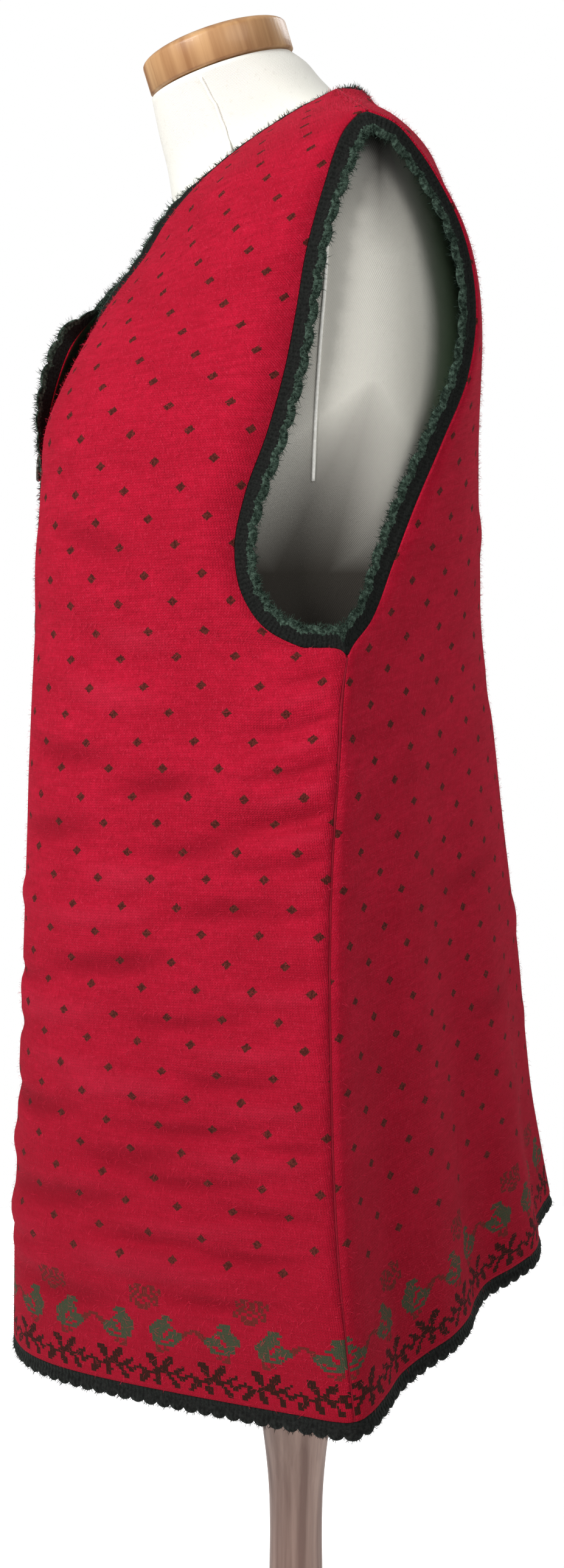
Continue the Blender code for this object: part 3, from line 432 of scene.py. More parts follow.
# the cut: the same tables as the solids, in metres
cloth = {
    "wall": 0.0020, "seamGap": 0.0003, "restGap": 0.0005,
    "seamRounding": 0.0090, "roundLow": 0.640, "roundHigh": 0.700,
    "lowerSteps": (2, 2, 2, 4, 3, 1),
    "fineWall": 0.0017,     # the knit's own thickness
    "clearGap": 0.0003, "clearReach": 0.02, "pushRounds": 14, "pushMost": 0.06,
    "fineRow": 0.0033, "fineColumns": 64, "finer": 3,
}
closing = {
    "leftEdgeX": -0.012, "rightEdgeX": -0.006, "lapLift": 0.0048,
    "lapX": (0.024, 0.052), "lapTop": (0.915, 0.950), "flatReach": 0.045, "flatStep": 0.006,
    "flapLift": 0.0030, "flapHeight": 0.885, "flapReach": 0.060,
    "flapCurl": 66.0, "curlStart": 0.800, "curlEnd": 0.018,
}
frontPanel = {
    "columns": 16, "reference": 0.10,
    # inner edge x y z, turning point x y z, outer edge x y z, weight
    "rows": (
        (-0.012, -0.163, 0.3032, 0.115, -0.190, 0.3040, 0.248, 0.0115, 0.325, 3.0),
        (-0.012, -0.158, 0.3842, 0.114, -0.190, 0.3811, 0.2325, 0.0045, 0.400, 2.8),
        (-0.012, -0.152, 0.4894, 0.112, -0.186, 0.4870, 0.220, 0.0010, 0.500, 2.6),
        (-0.012, -0.147, 0.5938, 0.110, -0.181, 0.5924, 0.207, 0.0020, 0.600, 2.5),
        (-0.012, -0.144, 0.6563, 0.109, -0.179, 0.6555, 0.1995, 0.0060, 0.660, 2.4),
        (-0.012, -0.142, 0.6985, 0.108, -0.177, 0.6980, 0.194, 0.0080, 0.700, 2.3),
        (-0.012, -0.141, 0.722, 0.108, -0.176, 0.7220, 0.191, 0.0105, 0.7185, 2.2),
        (-0.012, -0.141, 0.735, 0.108, -0.175, 0.7350, 0.1815, -0.0130, 0.7225, 2.1),
        (-0.012, -0.141, 0.750, 0.108, -0.174, 0.7500, 0.1745, -0.0310, 0.7320, 2.0),
        (-0.012, -0.141, 0.766, 0.108, -0.173, 0.7650, 0.1700, -0.0420, 0.7490, 1.9),
        (-0.012, -0.141, 0.785, 0.110, -0.171, 0.7840, 0.1685, -0.0455, 0.7720, 1.7),
        (-0.012, -0.140, 0.808, 0.112, -0.1705, 0.8070, 0.1690, -0.0400, 0.8000, 1.55),
        (-0.012, -0.138, 0.835, 0.115, -0.1690, 0.8340, 0.1690, -0.0290, 0.8300, 1.5),
        (-0.012, -0.133, 0.862, 0.117, -0.1510, 0.8640, 0.1680, -0.0190, 0.8650, 1.35),
        (-0.010, -0.126, 0.885, 0.117, -0.128, 0.8900, 0.167, -0.0130, 0.8950, 1.2),
        (0.010, -0.117, 0.9010, 0.117, -0.110, 0.9120, 0.1660, -0.0085, 0.9210, 1.1),
        (0.0285, -0.106, 0.9180, 0.117, -0.093, 0.9310, 0.1655, -0.0030, 0.9420, 1.1),
        (0.037, -0.092, 0.9350, 0.117, -0.073, 0.9500, 0.1650, 0.0020, 0.9580, 1.1),
        (0.046, -0.076, 0.9530, 0.117, -0.053, 0.9660, 0.1650, 0.0065, 0.9720, 1.1),
        (0.055, -0.056, 0.9720, 0.117, -0.032, 0.9810, 0.1650, 0.0110, 0.9820, 1.1),
        (0.0625, -0.034, 0.9912, 0.117, -0.012, 0.9950, 0.1650, 0.0150, 0.9870, 1.1),
        (0.069, -0.008, 1.0075, 0.118, 0.004, 1.0020, 0.1650, 0.0185, 0.9900, 1.1),
        (0.075, 0.0160, 1.0195, 0.120, 0.0188, 1.0055, 0.1650, 0.0225, 0.9914, 1.0),
    ),
    # height at the seam, drop to the front, reach, half-height, depth
    "creases": (
        (0.698, 0.010, 0.080, 0.0085, 0.0030),
        (0.676, 0.004, 0.105, 0.0080, -0.0026),
        (0.655, 0.008, 0.095, 0.0085, 0.0034),
        (0.632, 0.000, 0.110, 0.0085, -0.0030),
        (0.610, 0.006, 0.100, 0.0090, 0.0030),
        (0.585, 0.000, 0.080, 0.0110, -0.0022),
    ),
}
backPanel = {
    "columns": 15,
    # half of each row: centre back, turning point, outer edge, weight
    "rows": (
        (0.0, 0.1630, 0.3540, 0.055, 0.1590, 0.3530, 0.248, 0.0121, 0.325, 1.0),
        (0.0, 0.1495, 0.422, 0.060, 0.1475, 0.4210, 0.2325, 0.0051, 0.400, 1.1),
        (0.0, 0.1385, 0.514, 0.065, 0.1375, 0.5130, 0.220, 0.0016, 0.500, 1.2),
        (0.0, 0.1245, 0.608, 0.072, 0.1260, 0.6070, 0.207, 0.0026, 0.600, 1.3),
        (0.0, 0.1165, 0.664, 0.077, 0.1190, 0.6630, 0.1995, 0.0066, 0.660, 1.4),
        (0.0, 0.1100, 0.702, 0.080, 0.1130, 0.7020, 0.194, 0.0086, 0.700, 1.5),
        (0.0, 0.1070, 0.720, 0.085, 0.1105, 0.7200, 0.191, 0.0111, 0.7185, 1.5),
        (0.0, 0.1050, 0.742, 0.090, 0.1090, 0.7410, 0.1795, 0.0240, 0.7350, 1.5),
        (0.0, 0.1030, 0.772, 0.095, 0.1075, 0.7710, 0.169, 0.0370, 0.7650, 1.4),
        (0.0, 0.1005, 0.800, 0.100, 0.1055, 0.7990, 0.1605, 0.0495, 0.7950, 1.3),
        (0.0, 0.0985, 0.832, 0.100, 0.1035, 0.8300, 0.156, 0.0640, 0.8280, 1.2),
        (0.0, 0.0972, 0.864, 0.100, 0.1010, 0.8620, 0.153, 0.0770, 0.8600, 1.1),
        (0.0, 0.0962, 0.896, 0.100, 0.0985, 0.8930, 0.151, 0.0815, 0.8900, 1.0),
        (0.0, 0.0935, 0.923, 0.095, 0.0950, 0.9200, 0.1505, 0.0795, 0.9150, 1.0),
        (0.0, 0.0870, 0.948, 0.092, 0.0880, 0.9450, 0.152, 0.0725, 0.9380, 1.0),
        (0.0, 0.0790, 0.968, 0.090, 0.0770, 0.9660, 0.155, 0.0620, 0.9570, 1.0),
        (0.0, 0.0715, 0.987, 0.085, 0.0610, 0.9850, 0.159, 0.0490, 0.9745, 1.1),
        (0.0, 0.0585, 1.0020, 0.080, 0.0400, 1.0030, 0.1635, 0.0360, 0.9865, 1.3),
    ),
    "neck": ((0.0, 0.0460, 1.0115), (0.030, 0.0430, 1.0125), (0.056, 0.0330, 1.0160), (0.075, 0.0164, 1.0195)),
    "shoulderTip": (0.1650, 0.0229, 0.9914),
    # x at the hem, x at the top, lowest and highest reach, half-width, depth
    "folds": (
        (0.205, 0.165, 0.300, 0.760, 0.016, -0.0050),
        (0.165, 0.150, 0.300, 0.800, 0.018, 0.0040),
        (0.118, 0.125, 0.300, 0.760, 0.018, -0.0050),
        (0.080, 0.095, 0.300, 0.640, 0.020, 0.0090),
        (0.030, 0.045, 0.300, 0.600, 0.018, -0.0050),
    ),
}


shoulderColumns = frontPanel["columns"] // 2
neckColumns = backPanel["columns"] - shoulderColumns


def smoothStep(low, high, value):
    share = min(1.0, max(0.0, (value - low) / (high - low)))
    return share * share * (3.0 - 2.0 * share)


def bump(offset, halfWidth):
    share = abs(offset) / (2.0 * halfWidth)
    if share >= 1.0:
        return 0.0
    return (1.0 - share * share) ** 2


def unit(values):
    # the same directions, one long
    return values / np.maximum(np.linalg.norm(values, axis=-1, keepdims=True), 1e-9)


def readAt(stops, along, points, **rest):
    # points read between their stations along a line
    return np.stack([np.interp(stops, along, points[:, axis], **rest) for axis in range(3)], 1)


def resample(points, stops):
    steps = np.linalg.norm(np.diff(points, axis=0), axis=1)
    along = np.concatenate(([0.0], np.cumsum(steps)))
    return readAt(stops, along, points)


def lengthOf(points):
    return float(np.linalg.norm(np.diff(points, axis=0), axis=1).sum())


def sectionCurve(row, edgeX):
    inX, inY, inZ, turnX, turnY, turnZ, outX, outY, outZ, weight = row
    if edgeX is not None and inX < 0.0:
        inX = edgeX * inX / closing["leftEdgeX"]
    inner = np.array((inX, inY, inZ))
    turn = np.array((turnX, turnY, turnZ))
    outer = np.array((outX, outY, outZ))
    share = np.linspace(0.0, 1.0, 81)[:, None]
    start = (1.0 - share) ** 2
    middle = 2.0 * share * (1.0 - share) * weight
    finish = share ** 2
    return (start * inner + middle * turn + finish * outer) / (start + middle + finish)


def columnStops(length, columns, nearSeam):
    even = np.linspace(0.0, length, columns + 1)
    if nearSeam <= 0.0:
        return even
    close = np.linspace(0.0, length - cloth["seamRounding"], columns - 1)
    close = np.concatenate((close, (length - 0.45 * cloth["seamRounding"], length)))
    return close * nearSeam + even * (1.0 - nearSeam)


def keyGrid(rows, columns, edgeX=None):
    grid = []
    for index, row in enumerate(rows):
        curve = sectionCurve(row, edgeX)
        nearSeam = 1.0 if index <= 6 else max(0.0, 1.0 - 0.5 * (index - 6))
        grid.append(resample(curve, columnStops(lengthOf(curve), columns, nearSeam)))
    return grid


def backTopRow():
    neck = np.array(backPanel["neck"])
    share = np.linspace(0.0, 1.0, 41)
    fine = readAt(share, np.linspace(0.0, 1.0, len(neck)), neck)
    neckPart = resample(fine, np.linspace(0.0, lengthOf(fine), neckColumns + 1))
    share = np.linspace(0.0, 1.0, shoulderColumns + 1)[1:, None]
    shoulderPart = neck[-1] * (1.0 - share) + np.array(backPanel["shoulderTip"]) * share
    return np.concatenate((neckPart, shoulderPart))


def throughRows(keys, stations):
    keys = np.array(keys)
    last = len(keys) - 1
    rows = []
    for station in stations:
        low = min(int(station), last - 1)
        share = station - low
        before = keys[low - 1] if low > 0 else 2.0 * keys[0] - keys[1]
        after = keys[low + 2] if low + 2 <= last else 2.0 * keys[last] - keys[last - 1]
        here = keys[low]
        there = keys[low + 1]
        gapBefore = np.linalg.norm(here - before, axis=1).mean()
        gapHere = np.linalg.norm(there - here, axis=1).mean()
        gapAfter = np.linalg.norm(after - there, axis=1).mean()
        slopeHere = ((here - before) / gapBefore * gapHere + (there - here) / gapHere * gapBefore)
        slopeHere = slopeHere / (gapBefore + gapHere) * gapHere
        slopeThere = ((there - here) / gapHere * gapAfter + (after - there) / gapAfter * gapHere)
        slopeThere = slopeThere / (gapAfter + gapHere) * gapHere
        square = share * share
        cube = square * share
        rows.append((2 * cube - 3 * square + 1) * here + (cube - 2 * square + share) * slopeHere
                    + (3 * square - 2 * cube) * there + (cube - square) * slopeThere)
    return np.array(rows)


def rowStations(last):
    stations = [0.0]
    for index in range(last):
        steps = cloth["lowerSteps"][index] if index < len(cloth["lowerSteps"]) else 1
        stations += [index + (step + 1) / steps for step in range(steps)]
    return stations


def flattenMiddle(grid, stations):
    out = grid.copy()
    for row, station in enumerate(stations):
        amount = 1.0 - smoothStep(13.5, 15.5, station)
        line = grid[row]
        if amount <= 0.0 or line[0, 0] > closing["flatReach"]:
            continue
        edges = (closing["flatReach"], closing["flatReach"] - closing["flatStep"])
        yThere, yBefore = np.interp(edges, line[:, 0], line[:, 1])
        slope = (yThere - yBefore) / closing["flatStep"]
        for column in range(line.shape[0]):
            x = line[column, 0]
            if x < closing["flatReach"]:
                bow = slope * (max(x, 0.0) ** 2 / closing["flatReach"] - closing["flatReach"]) / 2.0
                out[row, column, 1] += (yThere + bow - line[column, 1]) * amount
    return out


def roundSideSeam(front, back, seamRows):
    for row in range(seamRows):
        roundness = 1.0 - smoothStep(cloth["roundLow"], cloth["roundHigh"], front[row, -1, 2])
        corner = 0.5 * (front[row, -1] + back[row, -1])
        frontStart = front[row, -3].copy()
        backStart = back[row, -3].copy()
        for panel, start, other in ((front, frontStart, backStart), (back, backStart, frontStart)):
            for column in (-2, -1):
                distance = np.linalg.norm(panel[row, column] - corner)
                share = 0.5 * (1.0 - min(1.0, distance / cloth["seamRounding"]))
                turnedIn = (1 - share) ** 2 * start + 2 * share * (1 - share) * corner + share ** 2 * other
                panel[row, column] += (turnedIn - panel[row, column]) * roundness
        halfGap = 0.5 * cloth["seamGap"]
        for panel in (front, back):
            along = panel[row, -1] - panel[row, -2]
            panel[row, -1] = panel[row, -1] - unit(along) * halfGap


def gridNormals(grid):
    down = np.gradient(grid, axis=0)
    across = np.gradient(grid, axis=1)
    normals = unit(np.cross(across, down))
    outward = grid - np.array((0.0, 0.01, 0.0))
    outward[:, :, 2] = 0.0
    if float((normals[:8] * outward[:8]).sum()) < 0.0:
        normals = -normals
    return normals


def raised(grid, depthAt):
    # moves each point out from the panel by the depth that depthAt gives for its row and column
    normals = gridNormals(grid)
    out = grid.copy()
    for row, column in np.ndindex(grid.shape[:2]):
        out[row, column] += normals[row, column] * depthAt(grid[row], column)
    return out


def foldBack(line, column):
    x, _, z = line[column]
    depth = 0.0
    for hemX, topX, low, high, width, size in backPanel["folds"]:
        share = (z - low) / (high - low)
        centre = hemX + (topX - hemX) * share
        depth += size * bump(x - centre, width) * (1.0 - smoothStep(0.1, 1.0, share))
    return depth * smoothStep(0.0, 0.030, abs(line[-1, 0] - x))


def foldFront(line, column):
    distance = np.linalg.norm(line[column] - line[-1])
    depth = 0.0
    for height, drop, reach, width, size in frontPanel["creases"]:
        centre = height - drop * distance / reach
        side = smoothStep(0.0, 0.022, distance) * (1.0 - smoothStep(0.45 * reach, reach, distance))
        depth += size * bump(line[column, 2] - centre, width) * side
    return depth


def liftFromForm(grid, hug=None, held=()):
    # draws the cloth to the form where it hugs it, and pushes it out where it would sink in
    rows, columns, _ = grid.shape
    out = grid.copy()
    for row, column in np.ndindex((rows, columns) if hug else (0, 0)):
        share = hug(out[row, column])
        if share > 0.0:
            spot, normal, _, _ = coarseTree.find_nearest(Vector(out[row, column]))
            out[row, column] += (np.array(spot + normal * cloth["restGap"]) - out[row, column]) * share
    fixed = {row % rows for row in held}
    shares = np.linspace(0.0, 1.0, 5)
    for _ in range(cloth["pushRounds"]):
        push = np.zeros_like(out)
        for row in range(rows - 1):
            for column in range(columns - 1):
                corners = ((row, column), (row, column + 1), (row + 1, column), (row + 1, column + 1))
                a, b, c, d = (out[corner] for corner in corners)
                probes = []
                for up in shares:
                    if (row in fixed and up < 0.2) or (row + 1 in fixed and up > 0.8):
                        continue
                    leftSide = a + (c - a) * up
                    rightSide = b + (d - b) * up
                    probes += [leftSide + (rightSide - leftSide) * share for share in shares]
                probes += [a + (d - a) * share for share in shares[1:4]]
                probes += [b + (c - b) * share for share in shares[1:4]]
                for probe in probes:
                    point = Vector(probe)
                    spot, normal, _, _ = coarseTree.find_nearest(point)
                    away = point - spot
                    depth = cloth["restGap"] - math.copysign(away.length, away.dot(normal))
                    if depth <= 0.0 or depth > cloth["pushMost"]:
                        continue
                    for corner in corners:
                        if np.linalg.norm(push[corner]) < depth:
                            push[corner] = np.array(normal) * depth
        for row in held:
            push[row] = 0.0
        if not push.any():
            break
        out += push * 1.02
    return out


mirror = np.array((-1.0, 1.0, 1.0))


yokeHug = {"from": (0.880, 0.930), "to": (0.945, 0.975), "side": (0.110, 0.150)}


def hugFrontYoke(point):
    height = smoothStep(*yokeHug["from"], point[2]) * (1.0 - smoothStep(*yokeHug["to"], point[2]))
    return height * (1.0 - smoothStep(*yokeHug["side"], point[0]))


def lapLift(line, column):
    x, _, z = line[column]
    over = (1.0 - smoothStep(*closing["lapX"], x)) * (1.0 - smoothStep(*closing["lapTop"], z))
    corner = math.hypot(x - closing["rightEdgeX"], 1.1 * (z - closing["flapHeight"]))
    flap = closing["flapLift"] * (1.0 - smoothStep(0.0, closing["flapReach"], corner))
    return closing["lapLift"] * over + flap


def smoothLine(keys, stations):
    # a smooth curve or surface through the keys, read at fractional key numbers
    keys = np.asarray(keys, float)
    stations = np.asarray(stations, float)
    last = len(keys) - 1
    gaps = np.maximum(np.linalg.norm(np.diff(keys, axis=0), axis=-1, keepdims=True), 1e-6)
    steps = np.diff(keys, axis=0) / gaps
    slopes = np.concatenate((steps[:1], steps))
    slopes[1:-1] = (steps[:-1] * gaps[1:] + steps[1:] * gaps[:-1]) / (gaps[:-1] + gaps[1:])
    low = np.clip(stations.astype(int), 0, last - 1)
    share = (stations - low).reshape((-1,) + (1,) * (keys.ndim - 1))
    square, cube = share ** 2, share ** 3
    return ((2 * cube - 3 * square + 1) * keys[low] + (cube - 2 * square + share) * slopes[low] * gaps[low]
            + (3 * square - 2 * cube) * keys[low + 1] + (cube - square) * slopes[low + 1] * gaps[low])


formBody = {
    "coarse": 24, "fine": 96, "fineSteps": 4,
    "bust": (0.792, 0.036, 0.088, 0.030, 0.014),
    # hollow under the arm: height, half-height, y, half-width, depth
    "hollow": (0.745, 0.095, -0.002, 0.045, 0.016),
    # front y and z, side x, y and z, back y and z, squareness
    "loops": (
        (-0.098, 0.385, 0.146, 0.000, 0.385, 0.098, 0.385, 2.2),
        (-0.112, 0.395, 0.162, 0.000, 0.395, 0.111, 0.395, 2.2),
        (-0.118, 0.430, 0.169, 0.000, 0.430, 0.116, 0.430, 2.2),
        (-0.112, 0.500, 0.160, 0.000, 0.500, 0.104, 0.500, 2.2),
        (-0.100, 0.560, 0.138, 0.000, 0.560, 0.085, 0.560, 2.2),
        (-0.097, 0.610, 0.127, 0.000, 0.610, 0.075, 0.610, 2.2),
        (-0.108, 0.660, 0.134, 0.000, 0.660, 0.080, 0.660, 2.2),
        (-0.128, 0.710, 0.149, 0.002, 0.710, 0.088, 0.710, 2.3),
        (-0.137, 0.750, 0.159, 0.004, 0.750, 0.093, 0.750, 2.4),
        (-0.140, 0.790, 0.163, 0.007, 0.790, 0.095, 0.790, 2.4),
        (-0.138, 0.825, 0.163, 0.010, 0.825, 0.095, 0.825, 2.4),
        (-0.133, 0.858, 0.162, 0.013, 0.860, 0.095, 0.862, 2.3),
        (-0.124, 0.886, 0.161, 0.015, 0.892, 0.095, 0.894, 2.2),
        (-0.111, 0.907, 0.161, 0.017, 0.917, 0.092, 0.921, 2.1),
        (-0.099, 0.924, 0.163, 0.019, 0.940, 0.086, 0.945, 2.0),
        (-0.088, 0.937, 0.1605, 0.020, 0.957, 0.079, 0.965, 2.0),
        (-0.0825, 0.945, 0.1585, 0.021, 0.969, 0.0715, 0.980, 2.0),
        (-0.079, 0.950, 0.1550, 0.022, 0.979, 0.0655, 0.989, 2.0),
        (-0.0775, 0.954, 0.1480, 0.022, 0.9865, 0.060, 0.997, 2.0),
        (-0.0765, 0.957, 0.134, 0.021, 0.9940, 0.0535, 1.0030, 2.0),
        (-0.075, 0.960, 0.114, 0.019, 1.0025, 0.047, 1.0080, 2.0),
        (-0.074, 0.9625, 0.094, 0.017, 1.0090, 0.041, 1.0120, 2.0),
        (-0.0735, 0.966, 0.077, 0.016, 1.0145, 0.0350, 1.0165, 2.0),
        (-0.0745, 0.974, 0.057, 0.008, 1.0150, 0.0275, 1.0215, 2.0),
        (-0.077, 0.990, 0.048, -0.008, 1.0185, 0.0220, 1.0310, 2.0),
        (-0.0805, 1.004, 0.0445, -0.022, 1.0265, 0.0130, 1.0405, 2.0),
        (-0.083, 1.0155, 0.0430, -0.034, 1.0350, 0.0055, 1.0490, 2.0),
        (-0.0857, 1.0287, 0.0425, -0.0448, 1.0420, -0.0038, 1.0552, 2.0),
    ),
}


def formLoop(loop, columns):
    frontY, frontZ, sideX, sideY, sideZ, backY, backZ, power = loop
    points = []
    for index in range(columns):
        angle = 2.0 * math.pi * index / columns
        across = math.sin(angle)
        along = math.cos(angle)
        x = sideX * math.copysign(abs(across) ** (2.0 / power), across)
        pull = abs(along) ** (2.0 / power)
        endY, endZ = (frontY, frontZ) if along > 0.0 else (backY, backZ)
        y = sideY + (endY - sideY) * pull
        z = sideZ + (endZ - sideZ) * pull
        if along > 0.0:
            height, halfHeight, distance, halfWidth, depth = formBody["bust"]
            y -= depth * bump(z - height, halfHeight) * bump(abs(x) - distance, halfWidth)
        points.append((x, y, z))
    return points


def formTree(grid):
    # the form's surface for the nearest-point tests
    rows, columns, _ = grid.shape
    faces = []
    for row in range(rows - 1):
        for column in range(columns):
            beside = (column + 1) % columns
            low, high = row * columns, (row + 1) * columns
            a, b, c, d = low + column, low + beside, high + beside, high + column
            faces += [(a, b, d), (b, c, d)] if column < columns // 2 else [(a, b, c), (a, c, d)]
    for start, flip in ((0, True), ((rows - 1) * columns, False)):
        ring = [start + column for column in range(columns)]
        faces.append(tuple(reversed(ring)) if flip else tuple(ring))
    return BVHTree.FromPolygons([tuple(point) for point in grid.reshape(-1, 3)], faces)


coarseForm = np.array([formLoop(loop, formBody["coarse"]) for loop in formBody["loops"]])
coarseTree = formTree(coarseForm)
fineRows = (len(formBody["loops"]) - 1) * formBody["fineSteps"] + 1
fineForm = smoothLine([formLoop(loop, formBody["fine"]) for loop in formBody["loops"]],
                      np.arange(fineRows) / formBody["fineSteps"])


def sinkUnderArms(grid):
    # the jersey is stretched over a shallow hollow where the arms are missing
    height, halfHeight, place, halfWidth, depth = formBody["hollow"]
    level = np.clip(1.0 - ((grid[..., 2] - height) / halfHeight) ** 2, 0.0, 1.0)
    near = np.clip(1.0 - ((grid[..., 1] - place) / halfWidth) ** 2, 0.0, 1.0)
    side = np.clip((np.abs(grid[..., 0]) - 0.08) / 0.03, 0.0, 1.0)
    out = grid.copy()
    out[..., 0] -= np.sign(grid[..., 0]) * depth * level ** 1.5 * near ** 1.5 * side
    return out


fineTree = formTree(fineForm)
shownForm = sinkUnderArms(fineForm)
shownTree = formTree(shownForm)


def coarsePanels():
    frontStations = rowStations(len(frontPanel["rows"]) - 1)
    backKeys = keyGrid(backPanel["rows"], backPanel["columns"]) + [backTopRow()]
    backStations = rowStations(len(backKeys) - 1)
    seamRows = 1 + sum(cloth["lowerSteps"])
    sides = []
    for edge in ("leftEdgeX", "rightEdgeX"):
        keys = keyGrid(frontPanel["rows"], frontPanel["columns"], closing[edge])
        sides.append(flattenMiddle(throughRows(keys, frontStations), frontStations))
    left, right = sides
    half = throughRows(backKeys, backStations)
    roundSideSeam(left, half, seamRows)
    roundSideSeam(right, throughRows(backKeys, backStations), seamRows)
    left = liftFromForm(raised(left, foldFront), hugFrontYoke)
    right = liftFromForm(raised(right, foldFront), hugFrontYoke)
    right = raised(right, lapLift)
    half = liftFromForm(raised(half, foldBack))
    half[-1, neckColumns:] = left[-1, ::2] + np.array((0.0, 1.3 * cloth["seamGap"], 0.0))
    half = liftFromForm(half, held=(-1,))
    back = np.concatenate(((half * mirror)[:, ::-1], half[:, 1:]), axis=1)
    return left, right, back


leftCut, rightCut, backCut = coarsePanels()
print("panels laid out")


def runLengths(line):
    return np.concatenate(([0.0], np.cumsum(np.linalg.norm(np.diff(line, axis=0), axis=1))))


def refine(grid, columns, keep=()):
    # finer rows and columns: first the charted border, then the panel above it
    height = np.concatenate(([0.0], np.cumsum(np.linalg.norm(np.diff(grid, axis=0), axis=2).mean(axis=1))))
    border = np.arange(knit["border"] + 1) * knit["row"]
    upper = np.linspace(border[-1], height[-1], int((height[-1] - border[-1]) / cloth["fineRow"]) + 1)[1:]
    rowsAt = np.interp(np.concatenate((border, upper)), height, np.arange(len(height)))
    rows = smoothLine(grid, rowsAt)
    hem = runLengths(grid[0])
    across = np.interp(np.linspace(0.0, hem[-1], columns + 1), hem, np.arange(len(hem)))
    for fixed in keep:
        across[int(np.argmin(np.abs(across - fixed)))] = fixed
    many = np.interp(np.arange(cloth["finer"] * columns + 1) / cloth["finer"], np.arange(columns + 1), across)
    fine = smoothLine(np.swapaxes(rows, 0, 1), many)
    return np.swapaxes(fine, 0, 1)


underarm = {"height": 0.7185, "rows": 24, "columns": 30, "rounds": 60, "far": 0.45, "turn": 0.034}


def easeUnderarm(grid, edges):
    # evens the rows out where the side seam turns into the armhole; the edges stay
    out = grid.copy()
    rows, columns, _ = grid.shape
    share = np.zeros((rows, columns))
    for edge in edges:
        corner = int(np.argmax(grid[:, edge, 2] > underarm["height"]))
        near = np.clip(1.0 - np.abs(np.arange(rows) - corner) / underarm["rows"], 0.0, 1.0)
        away = np.abs(np.arange(columns) - edge % columns) / underarm["columns"]
        share = np.maximum(share, near[:, None] * np.clip(1.0 - away, underarm["far"], 1.0)[None, :])
    share = share[1:-1, 1:-1, None]
    for _ in range(underarm["rounds"]):
        even = (out[:-2, 1:-1] + out[2:, 1:-1] + out[1:-1, :-2] + out[1:-1, 2:]) / 4.0
        out[1:-1, 1:-1] += (even - out[1:-1, 1:-1]) * share
    return out


def clothMeasure(grid, reference):
    # the distance across from a reference line and the height above the hem, along the cloth
    rows, columns, _ = grid.shape
    u = np.zeros((rows, columns))
    v = np.zeros((rows, columns))
    for row in range(rows):
        along = runLengths(grid[row])
        x = grid[row, :, 0]
        first = max(1, int(np.argmax(x >= reference)))
        share = (reference - x[first - 1]) / max(x[first] - x[first - 1], 1e-6)
        u[row] = along - (along[first - 1] + share * (along[first] - along[first - 1]))
        if row:
            below = readAt(u[row], u[row - 1], grid[row - 1])
            rise = np.linalg.norm(grid[row] - below, axis=1)
            v[row] = np.interp(u[row], u[row - 1], v[row - 1]) + np.minimum(rise, 1.5 * np.median(rise))
    return u, v
